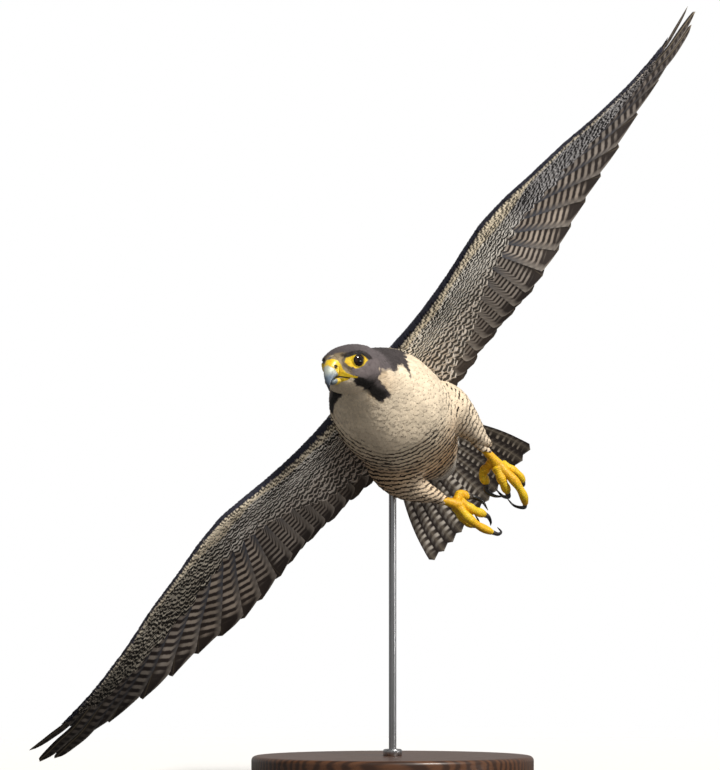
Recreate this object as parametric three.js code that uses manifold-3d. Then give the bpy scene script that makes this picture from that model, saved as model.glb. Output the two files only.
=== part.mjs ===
// Peregrine falcon in banked flight, life size, on a round display stand.
// Millimetres, +Z up.  The bird flies toward -Y with its left wing raised.
// Every solid is a loft, a fan or a solid of revolution, worked out from the
// named sizes below, and parted from its neighbours by thin cuts.
import * as THREE from 'three';
import { mergeVertices } from 'three/addons/utils/BufferGeometryUtils.js';
import Module from 'manifold-3d';

// ---------------------------------------------------------------- sizes
const GAP = 0.3;                 // width of the cut between two neighbours

const BASE_RADIUS = 150;         // round base plate
const BASE_HEIGHT = 30;
const BASE_CHAMFER = 4;
const ROD_RADIUS = 4;            // upright rod
const ROD_SOCKET_Z = 12;         // floor of the rod's socket in the base
const ROD_TOP_Z = 352;           // top of the rod inside the trunk
const COLLAR_RADIUS = 10;
const COLLAR_HEIGHT = 7;

const ROD_AT = [0, 42];          // rod's place on the base

const SHOULDER = [-36.7, -70, 431];   // midpoint of the shoulders
const BANK = 48.48 * Math.PI / 180;   // roll of the wing line from level
const BODY_FWD = [0.045, -0.450, 0.892];   // trunk axis in wing axes (L, P, Z)

const EYE_RADIUS = 9.3;
const EYE_CENTRE = [10.6, 16.3, 4.0];
const WRIST = 206;               // station of the cut between arm and hand
const FEATHER_EDGE = 0.7;        // thickness of the vanes at their edge

// ---------------------------------------------------------------- helpers
const unit = (v) => { const n = Math.hypot(...v); return v.map((c) => c / n); };
const add = (a, b, k = 1) => [a[0] + k * b[0], a[1] + k * b[1], a[2] + k * b[2]];
const sub = (a, b) => add(a, b, -1);
const cross = (a, b) => [a[1] * b[2] - a[2] * b[1], a[2] * b[0] - a[0] * b[2], a[0] * b[1] - a[1] * b[0]];
const mix = (a, b, t) => a + (b - a) * t;
const clamp = (x, a, b) => Math.min(b, Math.max(a, x));

// smooth monotone curve through rows of [x, y]
function curve(rows, col = 1) {
  const x = rows.map((r) => r[0]), y = rows.map((r) => r[col]), n = x.length;
  const d = [], m = new Array(n).fill(0);
  for (let i = 0; i < n - 1; i++) d.push((y[i + 1] - y[i]) / (x[i + 1] - x[i]));
  m[0] = d[0]; m[n - 1] = d[n - 2];
  for (let i = 1; i < n - 1; i++) {
    if (d[i - 1] * d[i] > 0) {
      const h0 = x[i] - x[i - 1], h1 = x[i + 1] - x[i];
      const w1 = 2 * h1 + h0, w2 = h1 + 2 * h0;
      m[i] = (w1 + w2) / (w1 / d[i - 1] + w2 / d[i]);
    }
  }
  return (q) => {
    if (q <= x[0]) return y[0];
    if (q >= x[n - 1]) return y[n - 1];
    let i = 0; while (q > x[i + 1]) i++;
    const h = x[i + 1] - x[i], t = (q - x[i]) / h;
    return y[i] * (1 + 2 * t) * (1 - t) ** 2 + m[i] * h * t * (1 - t) ** 2
      + y[i + 1] * t * t * (3 - 2 * t) + m[i + 1] * h * t * t * (t - 1);
  };
}

// wing axes: L along the wings to the left tip, P square to it and down, Z forward
const cb = Math.cos(BANK), sb = Math.sin(BANK);
const W = ([l, p, z]) => [SHOULDER[0] + cb * l + sb * p, SHOULDER[1] - z, SHOULDER[2] + sb * l - cb * p];
// trunk axes: x forward, l to the left, u to the back of the bird
const F = unit(BODY_FWD);
const U = unit([0, -F[2], F[1]]);
const LB = (() => { const k = F[0]; return unit([1 - k * F[0], -k * F[1], -k * F[2]]); })();
const bodyL = ([x, l, u]) => add(add(F.map((c) => c * x), LB, l), U, u);
const B = (p) => W(bodyL(p));
// head axes: forward, left, up, turned to the bird's right and kept level
const HF = [-0.6134, -0.0143, 0.7896], HL = [0.7722, 0.1990, 0.6034], HU = [-0.1658, 0.9799, -0.1110];
const HEAD = [-8.5, 10.9, 62];
const H = ([x, l, u]) => {
  const c = add(add(add(HEAD, HF, x), HL, l), HU, u);
  return [SHOULDER[0] + c[0], SHOULDER[1] - c[2], SHOULDER[2] + c[1]];
};

// closed solid from rings of points, with a point or a fan at each end
function loft(rings, tip0 = null, tip1 = null) {
  const pos = [], idx = [], n = rings[0].length, m = rings.length;
  rings.forEach((r) => r.forEach((p) => pos.push(...p)));
  const centre = (r) => r.reduce((a, p) => add(a, p), [0, 0, 0]).map((c) => c / r.length);
  const a = pos.length / 3; pos.push(...(tip0 || centre(rings[0])));
  const b = pos.length / 3; pos.push(...(tip1 || centre(rings[m - 1])));
  for (let i = 0; i < m - 1; i++) for (let j = 0; j < n; j++) {
    const k = (j + 1) % n, p = i * n + j, q = i * n + k, r = p + n, s = q + n;
    if ((i + j) % 2) idx.push(p, q, s, p, s, r); else idx.push(p, q, r, q, s, r);
  }
  for (let j = 0; j < n; j++) {
    const k = (j + 1) % n;
    idx.push(a, k, j, b, (m - 1) * n + j, (m - 1) * n + k);
  }
  const g = new THREE.BufferGeometry();
  g.setAttribute('position', new THREE.Float32BufferAttribute(pos, 3));
  g.setIndex(idx);
  return outward(g);
}

// closed sheet from two grids of points, one for each face
function slab(top, bot) {
  const pos = [], idx = [], m = top.length, n = top[0].length, o = m * n;
  top.forEach((r) => r.forEach((p) => pos.push(...p))); bot.forEach((r) => r.forEach((p) => pos.push(...p)));
  const quad = (a, b, c, d) => idx.push(a, b, c, a, c, d);
  for (let k = 0; k < m - 1; k++) for (let i = 0; i < n - 1; i++) {
    const a = k * n + i, b = a + 1, c = b + n, d = a + n;
    quad(a, b, c, d); quad(o + d, o + c, o + b, o + a);
  }
  for (let i = 0; i < n - 1; i++) {
    const a = i, b = i + 1, c = (m - 1) * n + i, d = c + 1;
    quad(o + a, o + b, b, a); quad(c, d, o + d, o + c);
  }
  for (let k = 0; k < m - 1; k++) {
    const a = k * n, b = a + n, c = a + n - 1, d = b + n - 1;
    quad(a, b, o + b, o + a); quad(o + c, o + d, d, c);
  }
  const g = new THREE.BufferGeometry();
  g.setAttribute('position', new THREE.Float32BufferAttribute(pos, 3));
  g.setIndex(idx);
  return outward(g);
}

function outward(g) {
  const p = g.getAttribute('position').array, f = g.index.array;
  let v = 0;
  for (let i = 0; i < f.length; i += 3) {
    const [a, b, c] = [0, 1, 2].map((k) => [p[3 * f[i + k]], p[3 * f[i + k] + 1], p[3 * f[i + k] + 2]]);
    const n = cross(b, c); v += a[0] * n[0] + a[1] * n[1] + a[2] * n[2];
  }
  if (v < 0) for (let i = 0; i < f.length; i += 3) { const t = f[i]; f[i] = f[i + 1]; f[i + 1] = t; }
  return g;
}

const wasm = await Module(); wasm.setup();
function solid(g) {
  let s = g.clone(); s.deleteAttribute('normal'); s.deleteAttribute('uv'); s = mergeVertices(s, 1e-4);
  return new wasm.Manifold(new wasm.Mesh({
    numProp: 3, vertProperties: new Float32Array(s.getAttribute('position').array),
    triVerts: new Uint32Array(s.index.array) }));
}
const union = (list) => list.reduce((a, b) => a.add(b));
const largest = (m) => m.decompose().sort((a, b) => b.volume() - a.volume())[0];
function split(m, n, at) {        // thin cut square to n through the point at
  const u = unit(n), d = u[0] * at[0] + u[1] * at[1] + u[2] * at[2];
  return [m.trimByPlane(u, d + GAP / 2), m.trimByPlane(u.map((c) => -c), -(d - GAP / 2))];
}

// ---------------------------------------------------------------- trunk and neck
// x forward of the shoulders, half width, top, bottom
const TRUNK = [
  [-256, 11, -12, -31], [-238, 18, -8, -41], [-212, 27, -1, -50], [-185, 36, 7, -59],
  [-155, 45, 14, -68], [-125, 53.5, 19, -77], [-95, 59, 23, -84], [-65, 61.5, 26, -88],
  [-38, 61, 27, -88], [-14, 56.5, 25, -82], [6, 49, 21, -71], [24, 40, 15, -59],
  [40, 32.5, 10, -50], [54, 26.5, 6, -43]];
const trunkHalf = curve(TRUNK, 1), trunkTop = curve(TRUNK, 2), trunkBottom = curve(TRUNK, 3);
const TRUNK_FULL = 2.25;         // fullness of the cross section

function trunkRing(x, grow, n) {
  const a = trunkHalf(x) + grow, top = trunkTop(x) + grow, bot = trunkBottom(x) - grow;
  const mid = mix(top, bot, 0.47), ring = [];
  for (let j = 0; j < n; j++) {
    const q = 2 * Math.PI * j / n, c = Math.cos(q), s = Math.sin(q), e = 2 / TRUNK_FULL;
    const l = a * Math.sign(c) * Math.abs(c) ** e;
    const u = Math.abs(s) ** e;
    ring.push(B([x, l, s >= 0 ? mid + (top - mid) * u : mid - (mid - bot) * u]));
  }
  return ring;
}
function trunkSolid(grow = 0, n = 24, steps = 16) {
  const x0 = TRUNK[0][0] - grow, x1 = TRUNK[TRUNK.length - 1][0] + grow, rings = [];
  for (let i = 0; i <= steps; i++) rings.push(trunkRing(mix(x0, x1, i / steps), grow, n));
  return solid(loft(rings, B([x0 - 3, 0, -20]), null));
}

// ---------------------------------------------------------------- head
// forward, half width, top, bottom
const SKULL = [
  [-31.5, 9, 6.2, -12], [-29, 15, 13.2, -17], [-23, 22, 20, -21], [-13, 26.8, 23.3, -25],
  [-1, 28.2, 24.3, -27.5], [9, 27.8, 23.4, -27], [17, 24.4, 20.8, -25], [23, 17.8, 17.2, -21.5],
  [27.5, 12.6, 13.2, -17.5], [30.5, 9, 9.6, -14.5]];
const skullHalf = curve(SKULL, 1), skullTop = curve(SKULL, 2), skullBottom = curve(SKULL, 3);
const SKULL_FULL = 2.35;

function skull(grow = 0, n = 20, steps = 12) {
  const rings = [], x0 = SKULL[0][0] - grow, x1 = SKULL[SKULL.length - 1][0] + grow;
  for (let i = 0; i <= steps; i++) {
    const x = mix(x0, x1, 0.5 - 0.5 * Math.cos(Math.PI * i / steps));
    const a = skullHalf(x) + grow, top = skullTop(x) + grow, bot = skullBottom(x) - grow;
    const mid = mix(bot, top, 0.5), ring = [];
    for (let j = 0; j < n; j++) {
      const q = 2 * Math.PI * (j + 0.5) / n, c = Math.cos(q), s = Math.sin(q), e = 2 / SKULL_FULL;
      ring.push(H([x, a * Math.sign(c) * Math.abs(c) ** e, mid + (top - bot) / 2 * Math.sign(s) * Math.abs(s) ** e]));
    }
    rings.push(ring);
  }
  return solid(loft(rings, H([x0 - 2.5, 0, -4]), null));
}
function ellipsoid(at, r, map, wide = 12, high = 8) {
  const g = new THREE.SphereGeometry(1, wide, high), p = g.getAttribute('position');
  for (let i = 0; i < p.count; i++) {
    p.setXYZ(i, ...map([at[0] + r[0] * p.getX(i), at[1] + r[1] * p.getY(i), at[2] + r[2] * p.getZ(i)]));
  }
  g.deleteAttribute('normal'); g.deleteAttribute('uv');
  return solid(outward(mergeVertices(g, 1e-4)));
}
const eyeAt = (side) => [EYE_CENTRE[0], side * EYE_CENTRE[1], EYE_CENTRE[2]];
const eye = (side, grow) => ellipsoid(eyeAt(side), Array(3).fill(EYE_RADIUS + grow), H, 12, 8);
// hollow of the face round the eye, and the brow ridge that shades it
const orbit = (side) => ellipsoid([12.2, side * 28.2, 4.2], [10.5, 6.3, 7.9], H, 12, 8);
const brow = (side) => ellipsoid([13, side * 19.4, 12.2], [10, 4.2, 3.2], H, 8, 6);

// ---------------------------------------------------------------- bill
// culmen (forward, up), lower edge (forward, up), half width
const BILL = [
  [23.3, 12.3, 21.3, -9.4, 10.1], [27.8, 11.6, 25.4, -10.2, 9.6], [31.8, 9.8, 28.9, -11.0, 8.6],
  [35.6, 6.4, 32.0, -11.7, 7.4], [39.2, 1.6, 34.7, -12.7, 6.1], [42.0, -4.6, 36.7, -14.4, 4.7],
  [43.3, -11.0, 38.4, -16.6, 3.3], [43.1, -17.2, 39.9, -19.4, 1.9]];
const BILL_TIP = [41.4, 0, -25.2];
const JAW = [   // forward, top, bottom, half width
  [20, -10.6, -16.8, 8.2], [25, -10.8, -17.8, 7.7], [29.5, -11.3, -18.2, 6.8],
  [33, -12.2, -18.0, 5.5], [36.0, -13.8, -17.4, 3.8]];

function billUpper(grow = 0) {
  const rings = BILL.map(([cx, cz, bx, bz, w], i) => {
    const ring = [], n = 12, dx = cx - bx, dz = cz - bz, len = Math.hypot(dx, dz);
    const ex = dx / len, ez = dz / len, back = i === 0 ? -grow : 0;
    for (let j = 0; j < n; j++) {
      const q = 2 * Math.PI * j / n, c = Math.cos(q), s = Math.sin(q);
      const h = (s > 0 ? 0.5 + 0.5 * s : 0.5 + 0.5 * Math.sign(s) * Math.abs(s) ** 0.7) * (len + 2 * grow) - grow;
      const wide = (w + grow) * Math.sign(c) * Math.abs(c) ** 0.85 * (s > 0 ? 1 : 0.92);
      ring.push(H([bx + ex * h + back, wide, bz + ez * h]));
    }
    return ring;
  });
  return solid(loft(rings, null, H(BILL_TIP)));
}
function billLower(grow = 0) {
  const rings = JAW.map(([x, top, bot, w], i) => {
    const ring = [], n = 10;
    for (let j = 0; j < n; j++) {
      const q = 2 * Math.PI * j / n, c = Math.cos(q), s = Math.sin(q);
      ring.push(H([x - (i ? 0 : grow), (w + grow) * c,
        s > 0 ? mix(bot, top, 0.62) + (top - mix(bot, top, 0.62) + grow) * s ** 0.6
          : mix(bot, top, 0.62) - (mix(bot, top, 0.62) - bot + grow) * (-s)]));
    }
    return ring;
  });
  return solid(loft(rings, null, H([37.8, 0, -16.2])));
}

// ---------------------------------------------------------------- wings
// along the wing: front edge across the view, sweep back, chord, thickness, camber
const WING = [
  [26, 9.5, 15, 134, 26, 10], [44, 9.5, 14, 136, 24, 10.5], [70, 9.0, 7, 139, 20.5, 11],
  [100, 7.0, -2, 141, 17.5, 11], [140, 2.0, -14, 144, 15, 10.5], [185, -5.8, -26, 148, 13.5, 10],
  [208, -9.0, -30, 150, 12.5, 9.5], [235, -8.6, -28, 149, 10.5, 9], [280, -4.2, -20, 140, 8, 8],
  [325, -0.4, -8, 119, 6.2, 6.5], [376, 6.6, 8, 97, 4.8, 5], [435, 10.4, 28, 72, 3.4, 3.5],
  [475, 9.2, 45, 51, 2.6, 2.2], [500, 5.2, 60, 45, 2.0, 1.6], [527, 0.2, 77, 40, 1.6, 1.2]];
const frontEdge = curve(WING, 1), sweep = curve(WING, 2), chord = curve(WING, 3);
const thick = curve(WING, 4), camber = curve(WING, 5);
// rear edge across the view, left and right: it sets the twist, strongest in the raised left hand
const REAR = {
  1: curve([[30, 85.5], [60, 84.5], [84, 82.0], [119, 77.5], [150, 76.0], [182, 76.0], [208, 73.6], [242, 68.0], [276, 60.0],
    [332, 49.5], [364, 44.2], [399, 37.0], [435, 30.8], [463, 25.6], [485, 21.4], [512, 16.4], [527, 13.0]]),
  [-1]: curve([[30, 86.5], [67, 85.0], [90, 81.8], [111, 79.8], [135, 77.4], [162, 75.2], [188, 74.8], [212, 76.4], [239, 77.6],
    [270, 77.2], [313, 68.6], [348, 62.6], [379, 58.8], [400, 54.4], [434, 46.4], [489, 30.4], [516, 24.6], [527, 21.0]]) };
const profile = curve([[0, 0], [0.015, 0.42], [0.05, 0.74], [0.12, 1], [0.22, 0.86], [0.36, 0.42], [0.5, 0.2], [0.7, 0.08], [1, 0]]);

// point of the wing's mean surface, c back from the front edge, plus h to the upper side
function wingPoint(side, l, c, h) {
  const p = frontEdge(l), s = sweep(l), up = (0.45 * s - p) / 0.892;
  const z = -0.892 * s - 0.451 * up;
  const a = Math.asin((REAR[side](l) - p) / chord(l));
  const t = clamp(c / chord(l), 0, 1), k = h + camber(l) * 4 * t * (1 - t) * (1 - 0.35 * t);
  return W([side * l, p + c * Math.sin(a) - k * Math.cos(a), z - c * Math.cos(a) - k * Math.sin(a)]);
}

// edges between the tips of neighbouring flight feathers, from the body outward
const SECONDARIES = 13, SEC_FROM = 52, SEC_TO = 222;
const PRIMARY_EDGES = [222, 246, 273, 303, 337, 374, 414, 455, 494];
const CHORD_STEPS = [1, 0.55, 0.24, 0.06];

function wingBlade(side) {
  const stations = [[30, 0], [42, -1]];           // station, change of the chord
  const edges = [];
  for (let i = 0; i < SECONDARIES; i++) edges.push(mix(SEC_FROM, SEC_TO, i / SECONDARIES));
  edges.push(...PRIMARY_EDGES);
  for (let i = 0; i < edges.length - 1; i++) {
    const d = edges[i + 1] - edges[i], hand = edges[i] >= SEC_TO - 1;
    stations.push([edges[i], hand ? -3.6 : -3.2], [edges[i] + d * (hand ? 0.42 : 0.33), 0.6],
      [edges[i] + d * (hand ? 0.84 : 0.74), hand ? 2.6 : 1.2]);
  }
  stations.push([494, -6]);
  const rings = stations.map(([l, dc]) => {
    const ch = chord(l) + dc, T = thick(l), ring = [];
    const half = (t) => (T * profile(t) + FEATHER_EDGE + 0.9 * (1 - t)) / 2;
    for (const t of CHORD_STEPS) ring.push(wingPoint(side, l, t * ch, half(t)));
    ring.push(wingPoint(side, l, 0, 0));
    for (const t of [...CHORD_STEPS].reverse()) ring.push(wingPoint(side, l, t * ch, -half(t)));
    return ring;
  });
  return solid(loft(rings));
}
// free tips of the three outermost primaries: start and end (station, back from the front edge), width
const FINGERS = [
  [462, 8, 526, 0.6, 15], [458, 24, 529, 33, 17], [452, 36, 516, 45, 16]];
function finger(side, [l0, c0, l1, c1, w]) {
  const rings = [], n = 5;
  for (let i = 0; i <= n; i++) {
    const t = i / n, l = mix(l0, l1, t), c = mix(c0, c1, t);
    const b = w / 2 * (1 - 0.25 * t) * Math.sqrt(Math.max(0.03, 1 - t ** 3));
    const e = 0.5 + 0.5 * (1 - t);
    rings.push([wingPoint(side, l, c - b, 0), wingPoint(side, l, c - 0.4 * b, e), wingPoint(side, l, c + 0.8 * b, e * 0.8),
      wingPoint(side, l, c + b, 0), wingPoint(side, l, c + 0.8 * b, -e * 0.8), wingPoint(side, l, c - 0.4 * b, -e)]);
  }
  return solid(loft(rings));
}

// ---------------------------------------------------------------- tail
const TAIL_FEATHERS = 12;
const TAIL_FROM = -192, TAIL_LENGTH = 161, TAIL_TOP = -5, TAIL_DROP = 33, TAIL_ARCH = 1.5, TAIL_ROLL = 0.033, TAIL_SHIFT = 2.2;
function tailSolid() {
  const n = TAIL_FEATHERS * 3, lat = [];
  for (let i = 0; i <= n; i++) lat.push(-1 + 2 * i / n);
  const steps = [0, 0.36, 0.74, 1], rows = (h) => steps.map((t) => lat.map((s, i) => {
    const end = [-4.5, 0.4, 0.4][i % 3] * (t === 1 ? 1 : 0);       // rounded feather ends
    const corner = -11 * s ** 4 * (t === 1 ? 1 : 0.6 * t);
    const half = 35 + 78 * t - 29 * t * t, l = s * half * (i === 0 || i === n ? 0.995 : 1);
    const x = TAIL_FROM - TAIL_LENGTH * t - end - corner;
    const e = (h > 0 ? 1 : -1) * mix(2.2, 0.9, t) / 2;
    return B([x, l + TAIL_SHIFT * t, TAIL_TOP - TAIL_DROP * t - TAIL_ARCH * s * s + TAIL_ROLL * l + e]);
  }));
  return solid(slab(rows(1), rows(-1)));
}

// ---------------------------------------------------------------- legs
// thigh, hip to ankle: (L, P, Z) and radius; the feathered shank hides the hock
const THIGHS = {
  1: [[36, 78, -64, 27], [39, 96, -72, 27], [40, 113, -78, 22.5], [39, 128, -82, 16.5], [38.5, 140, -84.5, 11], [40, 150, -86, 5]],
  [-1]: [[-40, 76, -64, 28], [-47, 94, -72, 27.5], [-49, 111, -78, 23.5], [-46, 127, -82, 17.5], [-41, 140, -84.5, 12], [-37, 149, -86, 7]] };
// digits: (L, P, Z) of the joints, thickness at root and tip; tarsus first
const FEET = {
  1: {
    tarsus: [[33, 134, -84], [32, 150, -88], [30.4, 166, -92], [29.5, 176, -94]],
    toes: [
      { name: 'middle', path: [[29.5, 174, -93], [28.2, 195, -88], [23.8, 210, -92], [18.2, 219, -102]], r: [5.4, 4.0], claw: [[14, 221, -112], [8.5, 212, -121], [9.5, 200.5, -121]] },
      { name: 'inner', path: [[26.5, 172, -92], [19.0, 187, -90], [14.8, 197, -99]], r: [5.6, 4.4], claw: [[11.5, 201, -108], [8, 196, -117], [9, 185, -119]] },
      { name: 'outer', path: [[33, 174, -98], [36.4, 191, -100], [34.5, 202, -108]], r: [4.8, 3.6], claw: [[31, 205, -117], [26, 201, -125], [25, 193, -125]] },
      { name: 'hind', path: [[26, 164, -97], [12.0, 165, -104], [6.8, 174.5, -106]], r: [5.2, 4.6], claw: [[1.0, 179, -106], [2.2, 189, -102], [8.6, 197.5, -97]] }] },
  [-1]: {
    tarsus: [[-42, 136, -84], [-39.2, 147, -87], [-33, 161, -91], [-29.5, 169, -93]],
    toes: [
      { name: 'middle', path: [[-31, 167, -93], [-33.4, 184, -87], [-32.4, 198, -90], [-28.4, 212.5, -98]], r: [5.4, 3.9], claw: [[-25.5, 219, -105], [-21.5, 220, -113], [-20.5, 214, -118]] },
      { name: 'inner', path: [[-26.5, 167, -95], [-23.8, 182, -96], [-19.4, 194.5, -105]], r: [5.5, 4.3], claw: [[-18.6, 199.5, -114], [-21, 205, -120], [-24, 207.5, -126]] },
      { name: 'outer', path: [[-34, 167, -97], [-38, 181, -99], [-37, 193, -106]], r: [4.8, 3.6], claw: [[-33, 198, -114], [-28.5, 194, -121], [-26.3, 187, -122]] },
      { name: 'hind', path: [[-28, 163, -98], [-19.8, 161.5, -104], [-17.6, 169, -108]], r: [5.2, 4.5], claw: [[-13.6, 173.5, -111], [-10.6, 183, -109], [-13.6, 194.5, -104]] }] } };
const CLAW_RADIUS = { middle: 2.2, inner: 2.7, outer: 2.0, hind: 2.9 };

const FOOT_OUT = 1.009;          // feet a touch farther down than their joints were laid out
const WF = ([l, p, z]) => W([l, p * FOOT_OUT, z]);
const vec = (p) => new THREE.Vector3(...p);
function tube(path, radius, n, steps, cap = true) {      // round solid along a smooth path
  const c = new THREE.CatmullRomCurve3(path.map(vec), false, 'centripetal'), rings = [];
  const t0 = c.getTangent(0), seed = Math.abs(t0.x) < 0.8 ? new THREE.Vector3(1, 0, 0) : new THREE.Vector3(0, 1, 0);
  let nrm = seed.clone().sub(t0.clone().multiplyScalar(seed.dot(t0))).normalize();
  const ends = [];
  for (let i = 0; i <= steps; i++) {
    const s = i / steps, p = c.getPointAt(s), t = c.getTangentAt(s);
    nrm = nrm.clone().sub(t.clone().multiplyScalar(nrm.dot(t))).normalize();
    const bin = new THREE.Vector3().crossVectors(t, nrm), r = radius(s), ring = [];
    for (let j = 0; j < n; j++) {
      const q = 2 * Math.PI * j / n;
      ring.push(p.clone().addScaledVector(nrm, r * Math.cos(q)).addScaledVector(bin, r * Math.sin(q)).toArray());
    }
    rings.push(ring); ends.push([p, t, r]);
  }
  const [pa, ta, ra] = ends[0], [pb, tb, rb] = ends[steps], k = cap ? 0.45 : 0;
  return solid(loft(rings, pa.clone().addScaledVector(ta, -ra * k).toArray(), pb.clone().addScaledVector(tb, rb * k).toArray()));
}
function thigh(side, grow = 0) {
  const rows = THIGHS[side], radius = curve(rows.map((r, i) => [i / (rows.length - 1), r[3]]));
  return tube(rows.map((r) => W(r.slice(0, 3))), (s) => radius(s) + grow, 12, 7);
}
const toeRadius = ([a, b], s) => mix(a, b, s ** 0.8) * (1 + 0.09 * Math.cos(2 * Math.PI * 2.5 * s)) * (s > 0.97 ? 0.8 : 1);
function claw(foot, name, grow = 0) {
  const toe = foot.toes.find((t) => t.name === name), end = toe.path[toe.path.length - 1];
  const first = add(end, sub(toe.claw[0], end), 0.25);
  return tube([first, ...toe.claw].map(WF), (s) => (CLAW_RADIUS[name] * (1 - s) ** 0.75) + 0.28 + grow, 6, 5);
}
function footSolid(side) {
  const f = FEET[side];
  const parts = [tube(f.tarsus.map(WF), (s) => mix(4.7, 6.4, s ** 2.5) - 0.7 * Math.sin(Math.PI * s), 8, 5)];
  f.toes.forEach((t) => parts.push(tube(t.path.map(WF), (s) => toeRadius(t.r, s), 7, 6)));
  return union(parts);
}

// ---------------------------------------------------------------- stand
function turned(rows, n) {       // solid of revolution about the rod
  return solid(outward(mergeVertices((() => {
    const g = new THREE.LatheGeometry(rows.map(([r, z]) => new THREE.Vector2(r, z)), n);
    g.rotateX(Math.PI / 2); g.deleteAttribute('normal'); g.deleteAttribute('uv'); return g;
  })(), 1e-4)));
}
const atRod = (m) => m.translate([...ROD_AT, 0]);
const socket = (z0, z1) => atRod(turned([[0, z0], [ROD_RADIUS + GAP, z0], [ROD_RADIUS + GAP, z1], [0, z1]], 16));
const base = turned([[0, 0], [BASE_RADIUS - 2, 0], [BASE_RADIUS, 2], [BASE_RADIUS, BASE_HEIGHT - BASE_CHAMFER],
  [BASE_RADIUS - BASE_CHAMFER, BASE_HEIGHT], [0, BASE_HEIGHT]], 44).subtract(socket(ROD_SOCKET_Z, BASE_HEIGHT + 5));
const rod = atRod(turned([[0, ROD_SOCKET_Z + GAP], [ROD_RADIUS, ROD_SOCKET_Z + GAP], [ROD_RADIUS, ROD_TOP_Z - 1.5], [ROD_RADIUS - 1.5, ROD_TOP_Z], [0, ROD_TOP_Z]], 16));
const rodHole = socket(100, ROD_TOP_Z + GAP);
const cz = BASE_HEIGHT + GAP;
const collar = atRod(turned([[ROD_RADIUS + GAP, cz], [COLLAR_RADIUS, cz], [COLLAR_RADIUS, cz + COLLAR_HEIGHT - 2],
  [COLLAR_RADIUS - 2, cz + COLLAR_HEIGHT], [ROD_RADIUS + GAP, cz + COLLAR_HEIGHT], [ROD_RADIUS + GAP, cz]], 16));

// ---------------------------------------------------------------- parting the bird
const nodes = {};
const bigTrunk = trunkSolid(GAP), bigSkull = skull(GAP);
const eyes = { 1: eye(1, 0), [-1]: eye(-1, 0) };
const flesh = union([trunkSolid(), skull().subtract(orbit(1)).subtract(orbit(-1)), brow(1), brow(-1)]);
const headCut = H([-19, 0, -3]), headNormal = sub(H([1, 0, -0.15]), add(H([0, 0, 0]), sub(B([1, 0, 0]), B([0, 0, 0])), -0.8));
const [headRaw, below] = split(flesh, headNormal, headCut);
const neckCut = B([20, 0, -20]), neckNormal = sub(B([1, 0, 0.1]), B([0, 0, 0]));
const [neckRaw, trunkRaw] = split(below, neckNormal, neckCut);
nodes.neck = largest(neckRaw);
let head = largest(headRaw).subtract(eye(1, GAP)).subtract(eye(-1, GAP));
head = head.subtract(billUpper(GAP)).subtract(billLower(GAP));
nodes.head = largest(head);
nodes.bill_upper = billUpper();
nodes.bill_lower = largest(billLower().subtract(billUpper(GAP)));
nodes.eye_left = eyes[1]; nodes.eye_right = eyes[-1];
nodes.trunk = largest(trunkRaw.subtract(rodHole));

for (const [side, word] of [[1, 'left'], [-1, 'right']]) {
  const whole = union([wingBlade(side), ...FINGERS.map((f) => finger(side, f))]).subtract(bigTrunk);
  const axis = sub(W([side, 0, 0]), W([0, 0, 0]));
  const [hand, arm] = split(whole, axis, wingPoint(side, WRIST, 20, 0));
  nodes[`wing_${word}_arm`] = largest(arm);
  nodes[`wing_${word}_hand`] = largest(hand);
  const foot = FEET[side], bigThigh = thigh(side, GAP);
  nodes[`thigh_${word}`] = largest(thigh(side).subtract(bigTrunk));
  let f = footSolid(side).subtract(bigThigh).subtract(bigTrunk);
  for (const t of foot.toes) {
    nodes[`claw_${word}_${t.name}`] = claw(foot, t.name);
    f = f.subtract(claw(foot, t.name, GAP));
  }
  nodes[`foot_${word}`] = largest(f);
}
nodes.tail = largest(tailSolid().subtract(bigTrunk));
nodes.stand_base = base; nodes.stand_rod = rod; nodes.stand_collar = collar;

// ---------------------------------------------------------------- colours
const PAINT = {
  breast: [0xd9cdb8, 0.9], slate: [0x4d4f57, 0.85], wing: [0x6e675e, 0.85], bill: [0x8a97a0, 0.4],
  eye: [0x1c120c, 0.1], skin: [0xe2a816, 0.6], claw: [0x17161a, 0.3], wood: [0x4a3222, 0.5], steel: [0xb8bbbf, 0.3] };
const LOOK = (n) => n.startsWith('eye') ? 'eye' : n.startsWith('bill') ? 'bill' : n.startsWith('claw') ? 'claw'
  : n.startsWith('foot') ? 'skin' : n === 'head' ? 'slate' : n.startsWith('wing') || n === 'tail' ? 'wing'
    : n === 'stand_base' ? 'wood' : n.startsWith('stand') ? 'steel' : 'breast';

const group = new THREE.Group();
group.name = 'peregrine_falcon';
for (const [name, body] of Object.entries(nodes)) {
  const m = body.asOriginal().simplify(0.05).getMesh(), g = new THREE.BufferGeometry();
  const p = new Float32Array(m.numVert * 3);
  for (let i = 0; i < m.numVert; i++) for (let k = 0; k < 3; k++) p[3 * i + k] = m.vertProperties[i * m.numProp + k];
  g.setAttribute('position', new THREE.BufferAttribute(p, 3));
  g.setIndex(Array.from(m.triVerts));
  g.computeVertexNormals();
  const [color, roughness] = PAINT[LOOK(name)];
  const mesh = new THREE.Mesh(g, new THREE.MeshStandardMaterial({ color, roughness, metalness: LOOK(name) === 'steel' ? 1 : 0 }));
  mesh.name = name;
  group.add(mesh);
}
export default group;
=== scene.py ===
import math

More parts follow.
